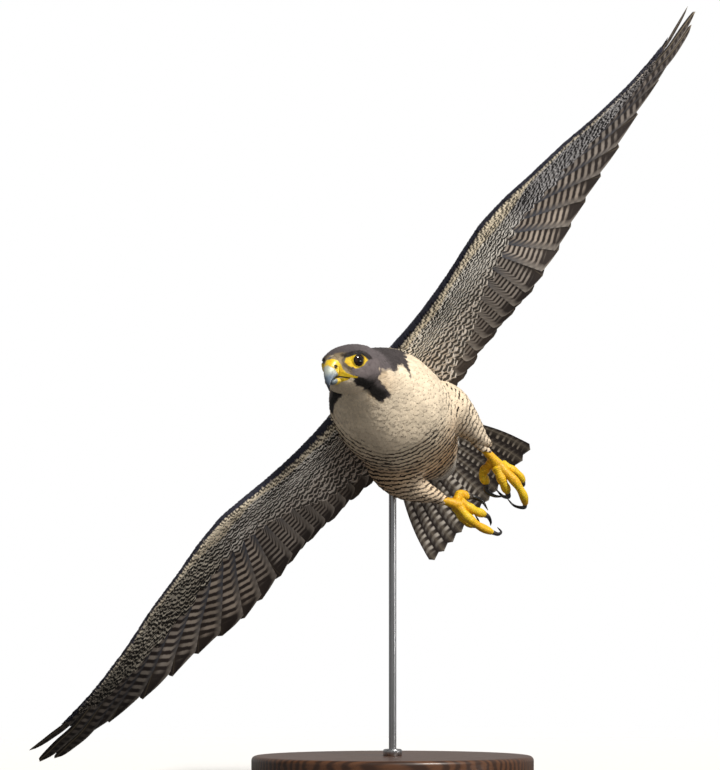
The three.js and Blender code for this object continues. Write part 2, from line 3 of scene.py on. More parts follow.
import bpy
import numpy as np
from mathutils.bvhtree import BVHTree
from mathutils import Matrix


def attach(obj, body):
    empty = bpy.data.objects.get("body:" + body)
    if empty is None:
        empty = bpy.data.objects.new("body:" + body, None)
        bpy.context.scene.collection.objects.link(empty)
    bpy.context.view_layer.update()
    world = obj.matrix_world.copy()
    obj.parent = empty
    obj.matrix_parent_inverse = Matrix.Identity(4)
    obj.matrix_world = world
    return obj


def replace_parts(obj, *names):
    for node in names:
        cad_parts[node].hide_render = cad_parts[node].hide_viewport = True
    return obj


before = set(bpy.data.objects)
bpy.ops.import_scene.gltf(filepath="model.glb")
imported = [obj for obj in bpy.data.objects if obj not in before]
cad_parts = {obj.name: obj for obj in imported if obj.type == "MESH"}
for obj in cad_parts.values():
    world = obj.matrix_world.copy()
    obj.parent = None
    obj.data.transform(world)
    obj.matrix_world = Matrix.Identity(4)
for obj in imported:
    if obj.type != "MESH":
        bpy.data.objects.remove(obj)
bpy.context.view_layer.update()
rng = np.random.default_rng(20)


# ------------------------------------------------------------------ helpers
def lin(r, g, b):
    """sRGB 0-255 to linear light."""
    c = np.array([r, g, b], float) / 255
    return np.where(c <= 0.04045, c / 12.92, ((c + 0.055) / 1.055) ** 2.4)


def unit(v):
    return v / np.maximum(np.linalg.norm(v, axis=-1, keepdims=True), 1e-12)


def smooth(a, b, x):
    t = np.clip((x - a) / (b - a), 0, 1)
    return t * t * (3 - 2 * t)


def mix(a, b, t):
    return a + (b - a) * t


def curve(rows, col=1):
    """Smooth monotone curve through rows of (x, y)."""
    x = np.array([r[0] for r in rows], float)
    y = np.array([r[col] for r in rows], float)
    h = np.diff(x)
    d = np.diff(y) / h
    m = np.zeros(len(x))
    m[0], m[-1] = d[0], d[-1]
    for i in range(1, len(x) - 1):
        if d[i - 1] * d[i] > 0:
            w1, w2 = 2 * h[i] + h[i - 1], h[i] + 2 * h[i - 1]
            m[i] = (w1 + w2) / (w1 / d[i - 1] + w2 / d[i])

    def f(q):
        q = np.clip(np.asarray(q, float), x[0], x[-1])
        i = np.clip(np.searchsorted(x, q, side="right") - 1, 0, len(x) - 2)
        t = (q - x[i]) / h[i]
        return (y[i] * (1 + 2 * t) * (1 - t) ** 2 + m[i] * h[i] * t * (1 - t) ** 2
                + y[i + 1] * t * t * (3 - 2 * t) + m[i + 1] * h[i] * t * t * (t - 1))
    return f


def wave(p, seed=0, scale=1.0, n=7):
    """Smooth wandering value of about -1 to 1 at points p, from a few sines."""
    r = np.random.default_rng(1000 + seed)
    out = np.zeros(p.shape[:-1])
    for _ in range(n):
        k = r.normal(size=p.shape[-1]) / scale
        out += np.sin(p @ k + r.uniform(0, 6.28))
    return out / n ** 0.5


# ------------------------------------------------------------------ frames of the bird
SHOULDER = np.array([-36.7, -70.0, 431.0])
BANK = math.radians(48.48)
CB, SB = math.cos(BANK), math.sin(BANK)
F = unit(np.array([0.045, -0.450, 0.892]))
U = unit(np.array([0, -F[2], F[1]]))
LB = unit(np.array([1 - F[0] ** 2, -F[0] * F[1], -F[0] * F[2]]))
MB = np.stack([F, LB, U], -1)
HF = np.array([-0.6134, -0.0143, 0.7896])
HL = np.array([0.7722, 0.1990, 0.6034])
HU = np.array([-0.1658, 0.9799, -0.1110])
MH = np.stack([HF, HL, HU], -1)
MHI = np.linalg.inv(MH)
HEAD = np.array([-8.5, 10.9, 62.0])


def W(p):
    p = np.asarray(p, float)
    l, q, z = p[..., 0], p[..., 1], p[..., 2]
    return np.stack([SHOULDER[0] + CB * l + SB * q, SHOULDER[1] - z, SHOULDER[2] + SB * l - CB * q], -1)


def un_w(x):
    d = x - SHOULDER
    return np.stack([CB * d[..., 0] + SB * d[..., 2], SB * d[..., 0] - CB * d[..., 2], -d[..., 1]], -1)


def B(p):
    return W(np.asarray(p, float) @ MB.T)


def body(x):
    return un_w(x) @ MB


def H(p):
    c = HEAD + np.asarray(p, float) @ MH.T
    return np.stack([SHOULDER[0] + c[..., 0], SHOULDER[1] - c[..., 2], SHOULDER[2] + c[..., 1]], -1)


def head(x):
    d = x - SHOULDER
    return (np.stack([d[..., 0], d[..., 2], -d[..., 1]], -1) - HEAD) @ MHI.T


def body_dir(v):
    return B(v) - B([0, 0, 0])


# ------------------------------------------------------------------ sizes shared with the solids
TRUNK = [
    [-256, 11, -12, -31], [-238, 18, -8, -41], [-212, 27, -1, -50], [-185, 36, 7, -59],
    [-155, 45, 14, -68], [-125, 53.5, 19, -77], [-95, 59, 23, -84], [-65, 61.5, 26, -88],
    [-38, 61, 27, -88], [-14, 56.5, 25, -82], [6, 49, 21, -71], [24, 40, 15, -59],
    [40, 32.5, 10, -50], [54, 26.5, 6, -43]]
trunk_half, trunk_top, trunk_bottom = curve(TRUNK, 1), curve(TRUNK, 2), curve(TRUNK, 3)
SKULL = [
    [-31.5, 9, 6.2, -12], [-29, 15, 13.2, -17], [-23, 22, 20, -21], [-13, 26.8, 23.3, -25],
    [-1, 28.2, 24.3, -27.5], [9, 27.8, 23.4, -27], [17, 24.4, 20.8, -25], [23, 17.8, 17.2, -21.5],
    [27.5, 12.6, 13.2, -17.5], [30.5, 9, 9.6, -14.5]]
skull_half, skull_top, skull_bottom = curve(SKULL, 1), curve(SKULL, 2), curve(SKULL, 3)
EYE_R = 9.3
EYE_AT = np.array([10.6, 16.3, 4.0])
GAZE = unit(np.array([0.26, 0.955, -0.13]))
BILL = [
    [23.3, 12.3, 21.3, -9.4, 10.1], [27.8, 11.6, 25.4, -10.2, 9.6], [31.8, 9.8, 28.9, -11.0, 8.6],
    [35.6, 6.4, 32.0, -11.7, 7.4], [39.2, 1.6, 34.7, -12.7, 6.1], [42.0, -4.6, 36.7, -14.4, 4.7],
    [43.3, -11.0, 38.4, -16.6, 3.3], [43.1, -17.2, 39.9, -19.4, 1.9]]
BILL_TIP = [41.4, 0, -25.2]
JAW = [[20, -10.6, -16.8, 8.2], [25, -10.8, -17.8, 7.7], [29.5, -11.3, -18.2, 6.8],
       [33, -12.2, -18.0, 5.5], [36.0, -13.8, -17.4, 3.8]]
WING = [
    [26, 9.5, 15, 134, 26, 10], [44, 9.5, 14, 136, 24, 10.5], [70, 9.0, 7, 139, 20.5, 11],
    [100, 7.0, -2, 141, 17.5, 11], [140, 2.0, -14, 144, 15, 10.5], [185, -5.8, -26, 148, 13.5, 10],
    [208, -9.0, -30, 150, 12.5, 9.5], [235, -8.6, -28, 149, 10.5, 9], [280, -4.2, -20, 140, 8, 8],
    [325, -0.4, -8, 119, 6.2, 6.5], [376, 6.6, 8, 97, 4.8, 5], [435, 10.4, 28, 72, 3.4, 3.5],
    [475, 9.2, 45, 51, 2.6, 2.2], [500, 5.2, 60, 45, 2.0, 1.6], [527, 0.2, 77, 40, 1.6, 1.2]]
front_edge, sweep, chord = curve(WING, 1), curve(WING, 2), curve(WING, 3)
thick, camber = curve(WING, 4), curve(WING, 5)
REAR = {
    1: curve([[30, 85.5], [60, 84.5], [84, 82.0], [119, 77.5], [150, 76.0], [182, 76.0], [208, 73.6], [242, 68.0],
              [276, 60.0], [332, 49.5], [364, 44.2], [399, 37.0], [435, 30.8], [463, 25.6], [485, 21.4], [512, 16.4],
              [527, 13.0]]),
    -1: curve([[30, 86.5], [67, 85.0], [90, 81.8], [111, 79.8], [135, 77.4], [162, 75.2], [188, 74.8], [212, 76.4],
               [239, 77.6], [270, 77.2], [313, 68.6], [348, 62.6], [379, 58.8], [400, 54.4], [434, 46.4],
               [489, 30.4], [516, 24.6], [527, 21.0]])}
profile = curve([[0, 0], [0.015, 0.42], [0.05, 0.74], [0.12, 1], [0.22, 0.86], [0.36, 0.42], [0.5, 0.2], [0.7, 0.08],
                 [1, 0]])


def wing_point(side, l, c, h):
    p, s = front_edge(l), sweep(l)
    up = (0.45 * s - p) / 0.892
    z = -0.892 * s - 0.451 * up
    a = np.arcsin((REAR[side](l) - p) / chord(l))
    t = np.clip(c / chord(l), 0, 1)
    k = h + camber(l) * 4 * t * (1 - t) * (1 - 0.35 * t)
    return W(np.stack(np.broadcast_arrays(side * l, p + c * np.sin(a) - k * np.cos(a),
                                          z - c * np.cos(a) - k * np.sin(a)), -1))


def wing_half(l, c):
    t = np.clip(c / chord(l), 0, 1)
    return (thick(l) * profile(t) + 0.7 + 0.9 * (1 - t)) / 2


def lead_y(l):
    """Front edge in the wing's flat plan, X along the wing and Y backward."""
    s = sweep(l)
    return 0.892 * s + 0.451 * (0.45 * s - front_edge(l)) / 0.892


TAIL_FROM, TAIL_LENGTH, TAIL_TOP, TAIL_DROP, TAIL_ARCH, TAIL_ROLL, TAIL_SHIFT = -192, 161, -5, 33, 1.5, 0.033, 2.2


def tail_point(s, t, e):
    """Point of the tail fan: s across from -1 to 1, t along from 0 to 1, e above its mean surface."""
    half = 35 + 78 * t - 29 * t * t
    l = s * half
    corner = -11 * np.abs(s) ** 4 * np.clip(t, 0, 1) * mix(0.6, 1.0, smooth(0.8, 1, t))
    x = TAIL_FROM - TAIL_LENGTH * t - corner
    return B(np.stack(np.broadcast_arrays(
        x, l + TAIL_SHIFT * t, TAIL_TOP - TAIL_DROP * t - TAIL_ARCH * s * s + TAIL_ROLL * l + e), -1))


THIGHS = {
    1: [[36, 78, -64, 27], [39, 96, -72, 27], [40, 113, -78, 22.5], [39, 128, -82, 16.5], [38.5, 140, -84.5, 11],
        [40, 150, -86, 5]],
    -1: [[-40, 76, -64, 28], [-47, 94, -72, 27.5], [-49, 111, -78, 23.5], [-46, 127, -82, 17.5],
         [-41, 140, -84.5, 12], [-37, 149, -86, 7]]}
FEET = {
    1: {"tarsus": [[33, 134, -84], [32, 150, -88], [30.4, 166, -92], [29.5, 176, -94]],
        "middle": ([[29.5, 174, -93], [28.2, 195, -88], [23.8, 210, -92], [18.2, 219, -102]], (5.4, 4.0),
                   [[14, 221, -112], [8.5, 212, -121], [9.5, 200.5, -121]]),
        "inner": ([[26.5, 172, -92], [19.0, 187, -90], [14.8, 197, -99]], (5.6, 4.4),
                  [[11.5, 201, -108], [8, 196, -117], [9, 185, -119]]),
        "outer": ([[33, 174, -98], [36.4, 191, -100], [34.5, 202, -108]], (4.8, 3.6),
                  [[31, 205, -117], [26, 201, -125], [25, 193, -125]]),
        "hind": ([[26, 164, -97], [12.0, 165, -104], [6.8, 174.5, -106]], (5.2, 4.6),
                 [[1.0, 179, -106], [2.2, 189, -102], [8.6, 197.5, -97]])},
    -1: {"tarsus": [[-42, 136, -84], [-39.2, 147, -87], [-33, 161, -91], [-29.5, 169, -93]],
         "middle": ([[-31, 167, -93], [-33.4, 184, -87], [-32.4, 198, -90], [-28.4, 212.5, -98]], (5.4, 3.9),
                    [[-25.5, 219, -105], [-21.5, 220, -113], [-20.5, 214, -118]]),
         "inner": ([[-26.5, 167, -95], [-23.8, 182, -96], [-19.4, 194.5, -105]], (5.5, 4.3),
                   [[-18.6, 199.5, -114], [-21, 205, -120], [-24, 207.5, -126]]),
         "outer": ([[-34, 167, -97], [-38, 181, -99], [-37, 193, -106]], (4.8, 3.6),
                   [[-33, 198, -114], [-28.5, 194, -121], [-26.3, 187, -122]]),
         "hind": ([[-28, 163, -98], [-19.8, 161.5, -104], [-17.6, 169, -108]], (5.2, 4.5),
                  [[-13.6, 173.5, -111], [-10.6, 183, -109], [-13.6, 194.5, -104]])}}
CLAW_R = {"middle": 2.2, "inner": 2.7, "outer": 2.0, "hind": 2.9}
FOOT_OUT = 1.009


def WF(p):
    p = np.array(p, float)
    p[..., 1] *= FOOT_OUT
    return W(p)


# ------------------------------------------------------------------ meshes
def make(name, verts, faces, material=None, attrs=None, uv=None, sharp=None, flat=False):
    """A mesh object from arrays: verts in mm, faces a list of (n, k) index arrays, attrs per vertex."""
    me = bpy.data.meshes.new(name)
    verts = np.ascontiguousarray(verts, np.float32) * np.float32(0.001)
    me.vertices.add(len(verts))
    me.vertices.foreach_set("co", verts.ravel())
    loops = np.concatenate([np.asarray(f, np.int32).ravel() for f in faces])
    totals = np.concatenate([np.full(len(f), f.shape[1], np.int32) for f in faces])
    starts = np.concatenate([[0], np.cumsum(totals)[:-1]]).astype(np.int32)
    me.loops.add(len(loops))
    me.loops.foreach_set("vertex_index", loops)
    me.polygons.add(len(totals))
    me.polygons.foreach_set("loop_start", starts)
    me.update(calc_edges=True)
    me.polygons.foreach_set("use_smooth", np.full(len(totals), not flat, bool))
    if sharp is not None:
        e = np.zeros(len(me.edges) * 2, np.int32)
        me.edges.foreach_get("vertices", e)
        e = e.reshape(-1, 2)
        me.edges.foreach_set("use_edge_sharp", (sharp[e[:, 0]] & sharp[e[:, 1]]).astype(bool))
    for key, value in (attrs or {}).items():
        value = np.asarray(value, np.float32)
        if value.shape[-1] == 4:
            me.attributes.new(key, "FLOAT_COLOR", "POINT").data.foreach_set("color", value.ravel())
        else:
            me.attributes.new(key, "FLOAT_VECTOR", "POINT").data.foreach_set("vector", value.ravel())
    if uv is not None:
        layer = me.uv_layers.new(name="OFBake")
        layer.data.foreach_set("uv", np.asarray(uv, np.float32)[loops].ravel())
    me.update()
    o = bpy.data.objects.new(name, me)
    bpy.context.scene.collection.objects.link(o)
    if material:
        me.materials.append(material)
    return o


def rgba(c, a=1.0):
    c = np.asarray(c, float)
    a = np.broadcast_to(np.asarray(a, float), c.shape[:-1])
    return np.concatenate([c, a[..., None]], -1)


def ring_faces(rows, n, first=0, closed=True):
    """Quads between rows of n points each, going round."""
    i = np.arange(rows - 1)[:, None]
    j = np.arange(n if closed else n - 1)[None, :]
    a = first + i * n + j
    b = first + i * n + (j + 1) % n
    return np.stack([a, b, b + n, a + n], -1).reshape(-1, 4)


def loft(rings, start=None, end=None):
    """Closed loft through rings (rows, n, 3): a point or a flat fan at each end."""
    rings = np.asarray(rings, float)
    rows, n = rings.shape[:2]
    verts = rings.reshape(-1, 3)
    start = rings[0].mean(0) if start is None else np.asarray(start, float)
    end = rings[-1].mean(0) if end is None else np.asarray(end, float)
    verts = np.vstack([verts, start, end])
    quads = ring_faces(rows, n)
    j = np.arange(n)
    a = np.stack([(j + 1) % n, j, np.full(n, rows * n)], -1)
    k = (rows - 1) * n
    b = np.stack([k + j, k + (j + 1) % n, np.full(n, rows * n + 1)], -1)
    tris = np.vstack([quads[:, [0, 1, 2]], quads[:, [0, 2, 3]], a, b])
    p = verts[tris]
    volume = np.einsum("ij,ij->i", p[:, 0], np.cross(p[:, 1], p[:, 2])).sum()
    if volume < 0:
        quads, a, b = quads[:, ::-1], a[:, ::-1], b[:, ::-1]
    return verts, [quads, np.vstack([a, b])]


def catmull(path, n):
    """Centripetal Catmull-Rom curve through a path: n points evenly along it."""
    p = np.asarray(path, float)
    p = np.vstack([2 * p[0] - p[1], p, 2 * p[-1] - p[-2]])
    out = []
    for i in range(1, len(p) - 2):
        k = [0.0]
        for j in range(3):
            k.append(k[-1] + max(np.linalg.norm(p[i + j] - p[i + j - 1]), 1e-6) ** 0.5)
        t = np.linspace(k[1], k[2], 40, endpoint=False)[:, None]
        a = [(k[j + 1] - t) / (k[j + 1] - k[j]) * p[i - 1 + j] + (t - k[j]) / (k[j + 1] - k[j]) * p[i + j] for j in range(3)]
        b = [(k[j + 2] - t) / (k[j + 2] - k[j]) * a[j] + (t - k[j]) / (k[j + 2] - k[j]) * a[j + 1] for j in range(2)]
        out.append((k[2] - t) / (k[2] - k[1]) * b[0] + (t - k[1]) / (k[2] - k[1]) * b[1])
    out = np.vstack(out + [p[-2][None]])
    d = np.concatenate([[0], np.cumsum(np.linalg.norm(np.diff(out, axis=0), axis=1))])
    q = np.linspace(0, d[-1], n)
    return np.stack([np.interp(q, d, out[:, i]) for i in range(3)], -1), d[-1]


def frames_along(p, seed):
    """Tangent and two normals at each point of a path, the first kept near seed."""
    t = unit(np.gradient(p, axis=0))
    a = unit(seed - t * (t @ seed)[:, None])
    return t, a, np.cross(t, a)


def mesh_arrays(o):
    me = o.data
    v = np.zeros(len(me.vertices) * 3, np.float32)
    me.vertices.foreach_get("co", v)
    n = np.zeros(len(me.vertices) * 3, np.float32)
    me.vertex_normals.foreach_get("vector", n)
    return v.reshape(-1, 3).astype(float) * 1000, n.reshape(-1, 3).astype(float)


def apply_modifiers(o):
    dg = bpy.context.evaluated_depsgraph_get()
    new = bpy.data.meshes.new_from_object(o.evaluated_get(dg))
    old = o.data
    o.modifiers.clear()
    o.data = new
    bpy.data.meshes.remove(old)
    return o


def drop(o):
    me = o.data
    bpy.data.objects.remove(o)
    bpy.data.meshes.remove(me)


def merged(name, parts):
    """One mesh from several (verts, faces) pairs."""
    verts, faces, n = [], [], 0
    for v, fs in parts:
        verts.append(v)
        faces += [f + n for f in fs]
        n += len(v)
    return make(name, np.vstack(verts), faces)


def boolean_union(a, b):
    """a and b in one closed mesh."""
    m = a.modifiers.new("union", "BOOLEAN")
    m.operation, m.solver, m.object = "UNION", "MANIFOLD", b
    apply_modifiers(a)
    drop(b)
    return a


# ------------------------------------------------------------------ materials
class Nodes:
    """Short way to write a material's nodes."""

    def __init__(self, name, rough=0.6, spec=0.4, metal=0.0, coat=0.0, coat_rough=0.1, sheen=0.0, sub=0.0):
        self.m = bpy.data.materials.new(name)
        self.m.use_nodes = True
        self.t = self.m.node_tree
        self.t.nodes.clear()
        self.b = self.t.nodes.new("ShaderNodeBsdfPrincipled")
        out = self.t.nodes.new("ShaderNodeOutputMaterial")
        self.t.links.new(self.b.outputs[0], out.inputs[0])
        for key, value in (("Roughness", rough), ("Specular IOR Level", spec), ("Metallic", metal), ("Coat Weight", coat),
                           ("Coat Roughness", coat_rough), ("Sheen Weight", sheen), ("Subsurface Weight", sub)):
            self.b.inputs[key].default_value = value
        if sub:
            self.b.inputs["Subsurface Radius"].default_value = (1.0, 0.5, 0.2)
            self.b.inputs["Subsurface Scale"].default_value = 0.002

    def add(self, kind, *ins, **props):
        n = self.t.nodes.new("ShaderNode" + kind)
        for k, v in props.items():
            setattr(n, k, v)
        for i, v in enumerate(ins):
            self.put(n.inputs[i], v)
        return n

    def put(self, socket, v):
        if v is None:
            return
        if isinstance(v, bpy.types.NodeSocket):
            self.t.links.new(v, socket)
        elif isinstance(v, (tuple, list, np.ndarray)):
            v = [float(x) for x in v]
            socket.default_value = v + [1.0] if len(v) == 3 and socket.type == "RGBA" else v
        else:
            socket.default_value = v

    def math(self, op, a, b=None, c=None):
        return self.add("Math", a, b, c, operation=op).outputs[0]

    def mix(self, f, a, b):
        n = self.t.nodes.new("ShaderNodeMix")
        n.data_type = "RGBA"
        self.put(n.inputs[0], f)
        self.put(n.inputs[6], a)
        self.put(n.inputs[7], b)
        return n.outputs[2]

    def scale(self, colour, f):
        n = self.t.nodes.new("ShaderNodeVectorMath")
        n.operation = "SCALE"
        self.put(n.inputs[0], colour)
        self.put(n.inputs[3], f)
        return n.outputs[0]

    def range(self, v, a, b, c=0.0, d=1.0, kind="SMOOTHSTEP"):
        n = self.t.nodes.new("ShaderNodeMapRange")
        n.interpolation_type = kind
        for i, x in enumerate((v, a, b, c, d)):
            self.put(n.inputs[i], x)
        return n.outputs[0]

    def attr(self, name):
        n = self.t.nodes.new("ShaderNodeAttribute")
        n.attribute_name = name
        return n.outputs

    def xyz(self, v):
        return self.add("SeparateXYZ", v).outputs

    def place(self):
        return self.t.nodes.new("ShaderNodeTexCoord").outputs["Object"]

    def noise(self, scale, detail=2.0, rough=0.5, vector=None):
        n = self.t.nodes.new("ShaderNodeTexNoise")
        self.put(n.inputs["Vector"], vector or self.place())
        self.put(n.inputs["Scale"], scale)
        self.put(n.inputs["Detail"], detail)
        self.put(n.inputs["Roughness"], rough)
        return n.outputs[0]

    def bump(self, height, strength, distance):
        n = self.t.nodes.new("ShaderNodeBump")
        self.put(n.inputs["Strength"], strength)
        self.put(n.inputs["Distance"], distance)
        self.put(n.inputs["Height"], height)
        self.put(self.b.inputs["Normal"], n.outputs[0])

    def done(self, colour, rough=None):
        self.put(self.b.inputs["Base Color"], colour)
        self.put(self.b.inputs["Roughness"], rough)
        return self.m


def feather_material(name, rough=0.75, spec=0.25, barbs=24.0, wobble=0.35, relief=0.4, soft=0.15, sheen=0.05):
    """Vane colour from the tint, ink and pattern each vertex carries, with barbs, shaft and wear."""
    n = Nodes(name, rough=rough, spec=spec, sheen=sheen)
    tint, ink = n.attr("tint"), n.attr("ink")
    pattern = n.xyz(n.attr("pattern")[1])
    vane = n.xyz(n.attr("feather")[1])
    side = n.math("ABSOLUTE", vane[1])
    wander = n.math("MULTIPLY", n.math("SUBTRACT", n.noise(210, 2.0), 0.5), wobble)
    phase = n.math("ADD", n.math("ADD", pattern[0], wander), n.math("MULTIPLY", n.math("MULTIPLY", side, side), 0.10))
    tri = n.math("MULTIPLY", n.math("PINGPONG", phase, 0.5), 2.0)
    bar = n.range(tri, n.math("SUBTRACT", pattern[1], soft), n.math("ADD", pattern[1], soft), 1.0, 0.0)
    spots = n.range(n.noise(150, 1.0), 0.5, 0.62)
    keep = n.math("ADD", n.math("MULTIPLY", spots, ink[3]), n.math("SUBTRACT", 1.0, ink[3]))
    amount = n.math("MULTIPLY", n.math("MULTIPLY", bar, pattern[2]), keep)
    colour = n.mix(amount, tint[0], ink[0])
    line = n.math("SINE", n.math("MULTIPLY", n.math("ADD", vane[0], n.math("MULTIPLY", side, 0.22)), barbs * 6.283))
    shaft = n.range(side, 0.02, 0.10, 1.0, 0.0)
    grey = n.math("MULTIPLY", n.range(vane[2], 0.0, 1.0, 0.88, 1.10, "LINEAR"), n.range(n.noise(38, 3.0), 0.3, 0.7, 0.93, 1.06))
    grey = n.math("MULTIPLY", grey, n.math("ADD", 1.0, n.math("MULTIPLY", line, 0.045)))
    grey = n.math("MULTIPLY", grey, n.range(n.noise(900, 3.0), 0.3, 0.7, 0.95, 1.05))
    grey = n.math("MULTIPLY", grey, n.range(shaft, 0.0, 1.0, 1.0, 0.90, "LINEAR"))
    colour = n.scale(colour, grey)
    height = n.math("ADD", n.math("MULTIPLY", line, 0.5), n.math("MULTIPLY", shaft, 1.2))
    n.bump(height, relief, 0.00018)
    return n.done(colour, n.range(n.noise(60, 2.0), 0.3, 0.7, rough - 0.06, rough + 0.08))


def skin_material():
    """Bare and covered skin: the tint each vertex carries, with fine wrinkles and small scales."""
    n = Nodes("skin", rough=0.55, spec=0.4, sub=0.06)
    tint = n.attr("tint")
    scales = n.t.nodes.new("ShaderNodeTexVoronoi")
    scales.feature = "DISTANCE_TO_EDGE"
    n.put(scales.inputs["Vector"], n.place())
    n.put(scales.inputs["Scale"], 620.0)
    cell = n.range(scales.outputs[0], 0.0, 0.16)
    # painted shade: the skin colour is darkened by up to a fifth along the grooves between the small scales
    groove_shade = n.math("ADD", n.math("MULTIPLY", cell, 0.22), 0.78)
    grey = n.math("MULTIPLY", groove_shade, n.range(n.noise(240, 4.0), 0.3, 0.72, 0.86, 1.08))
    n.bump(n.math("ADD", cell, n.math("MULTIPLY", n.noise(1500, 3.0), 0.5)), 0.45, 0.00025)
    return n.done(n.scale(tint[0], grey), n.range(n.noise(500, 2.0), 0.3, 0.7, 0.42, 0.62))


def foot_material():
    """Scaly yellow skin of the toes: darker between the scutes."""
    n = Nodes("foot", rough=0.45, spec=0.5, sub=0.08, coat=0.08, coat_rough=0.35)
    tint = n.attr("tint")
    scales = n.t.nodes.new("ShaderNodeTexVoronoi")
    scales.feature = "DISTANCE_TO_EDGE"
    n.put(scales.inputs["Vector"], n.place())
    n.put(scales.inputs["Scale"], 520.0)
    cell = n.range(scales.outputs[0], 0.0, 0.2)
    # painted shade: the yellow darkens towards deep orange along the grooves between the scutes
    colour = n.mix(n.math("MULTIPLY", n.math("SUBTRACT", 1.0, cell), 0.35), tint[0], lin(140, 82, 4))
    grey = n.range(n.noise(320, 4.0), 0.3, 0.72, 0.85, 1.1)
    n.bump(n.math("ADD", cell, n.math("MULTIPLY", n.noise(1800, 3.0), 0.35)), 0.55, 0.0003)
    return n.done(n.scale(colour, grey), n.range(n.noise(700, 2.0), 0.3, 0.7, 0.34, 0.55))


def bill_material():
    n = Nodes("bill", rough=0.32, spec=0.5, coat=0.25, coat_rough=0.2, sub=0.03)
    tint = n.attr("tint")
    grow = n.noise(420, 4.0, 0.6)
    grey = n.math("MULTIPLY", n.range(grow, 0.3, 0.7, 0.88, 1.08), n.range(n.noise(1600, 3.0), 0.3, 0.7, 0.95, 1.05))
    n.bump(n.math("ADD", grow, n.math("MULTIPLY", n.noise(2600, 2.0), 0.4)), 0.25, 0.00012)
    return n.done(n.scale(tint[0], grey), n.range(n.noise(260, 3.0), 0.3, 0.7, 0.24, 0.42))


def eye_material():
    n = Nodes("eye", rough=0.10, spec=0.35, coat=0.35, coat_rough=0.03)
    tint = n.attr("tint")
    grey = n.range(n.noise(1500, 4.0, 0.7), 0.3, 0.7, 0.75, 1.2)
    return n.done(n.scale(tint[0], grey), n.range(n.noise(800, 2.0), 0.3, 0.7, 0.04, 0.07))


def claw_material():
    n = Nodes("claw", rough=0.3, spec=0.5, coat=0.3, coat_rough=0.15)
    tint = n.attr("tint")
    grain = n.noise(700, 4.0, 0.6)
    n.bump(grain, 0.3, 0.00015)
    return n.done(n.scale(tint[0], n.range(grain, 0.3, 0.7, 0.8, 1.25)), n.range(n.noise(900, 2.0), 0.3, 0.7, 0.22, 0.4))


def wood_material():
    n = Nodes("wood", rough=0.4, spec=0.4, coat=0.25, coat_rough=0.2)
    at = n.add("Mapping", n.place())
    at.inputs["Scale"].default_value = (1.0, 14.0, 14.0)
    grain = n.t.nodes.new("ShaderNodeTexWave")
    grain.wave_type, grain.bands_direction = "BANDS", "Y"
    n.put(grain.inputs["Vector"], at.outputs[0])
    for key, value in (("Scale", 3.2), ("Distortion", 5.5), ("Detail", 4.0), ("Detail Scale", 1.6)):
        n.put(grain.inputs[key], value)
    pores = n.noise(60.0, 4.0, 0.7, at.outputs[0])
    colour = n.mix(n.range(grain.outputs[1], 0.1, 0.9), lin(58, 36, 24), lin(96, 62, 40))
    colour = n.mix(n.range(pores, 0.5, 0.72, 0.0, 0.6), colour, lin(34, 21, 14))
    n.bump(pores, 0.15, 0.0003)
    return n.done(colour, n.range(pores, 0.3, 0.7, 0.32, 0.5))


def steel_material():
    n = Nodes("steel", rough=0.25, spec=0.5, metal=1.0)
    at = n.add("Mapping", n.place())
    at.inputs["Scale"].default_value = (900.0, 900.0, 12.0)
    brushed = n.noise(1.0, 4.0, 0.6, at.outputs[0])
    n.bump(brushed, 0.12, 0.0001)
    return n.done(n.mix(brushed, lin(150, 152, 155), lin(205, 207, 210)), n.range(brushed, 0.3, 0.7, 0.2, 0.36))


def stage_material():
    """Pale floor that ends in the white of the room."""
    n = Nodes("floor", rough=0.9, spec=0.1)
    n.put(n.b.inputs["Base Color"], lin(246, 246, 246))
    place = n.xyz(n.place())
    away = n.math("SQRT", n.math("ADD", n.math("MULTIPLY", place[0], place[0]), n.math("MULTIPLY", place[1], place[1])))
    clear = n.t.nodes.new("ShaderNodeBsdfTransparent")
    blend = n.t.nodes.new("ShaderNodeMixShader")
    n.put(blend.inputs[0], n.range(away, 0.30, 1.9))
    n.t.links.new(n.b.outputs[0], blend.inputs[1])
    n.t.links.new(clear.outputs[0], blend.inputs[2])
    # the floor throws little light back up, as a floor of plain board in a large room
    dim = n.t.nodes.new("ShaderNodeBsdfDiffuse")
    dim.inputs[0].default_value = (0.10, 0.10, 0.10, 1)
    seen, last = n.t.nodes.new("ShaderNodeLightPath"), n.t.nodes.new("ShaderNodeMixShader")
    n.t.links.new(seen.outputs["Is Camera Ray"], last.inputs[0])
    n.t.links.new(dim.outputs[0], last.inputs[1])
    n.t.links.new(blend.outputs[0], last.inputs[2])
    out = next(x for x in n.t.nodes if x.type == "OUTPUT_MATERIAL")
    n.t.links.new(last.outputs[0], out.inputs[0])
    return n.m


MAT_BODY = feather_material("body_feathers", rough=0.85, spec=0.1, barbs=22, sheen=0.05)
MAT_HEAD = feather_material("head_feathers", rough=0.8, spec=0.16, barbs=12, wobble=0.2, relief=0.5)
MAT_COVERT = feather_material("wing_coverts", rough=0.8, spec=0.08, sheen=0.0, barbs=20, wobble=0.30, soft=0.07)
MAT_FLIGHT = feather_material("flight_feathers", rough=0.6, spec=0.15, sheen=0.0, barbs=110, wobble=0.22, relief=0.3, soft=0.22)
MAT_SKIN, MAT_FOOT, MAT_BILL, MAT_EYE = skin_material(), foot_material(), bill_material(), eye_material()
MAT_CLAW, MAT_WOOD, MAT_STEEL = claw_material(), wood_material(), steel_material()

# ------------------------------------------------------------------ camera, lights, floor
camera = bpy.data.objects.new("camera", bpy.data.cameras.new("camera"))
camera.data.lens, camera.data.sensor_width = 445.3, 36.0
camera.data.clip_start, camera.data.clip_end = 0.5, 60.0
camera.location = (-0.0346, -10.07, 0.42365)
camera.rotation_euler = (math.radians(90), 0, 0)
bpy.context.scene.collection.objects.link(camera)
bpy.context.scene.camera = camera


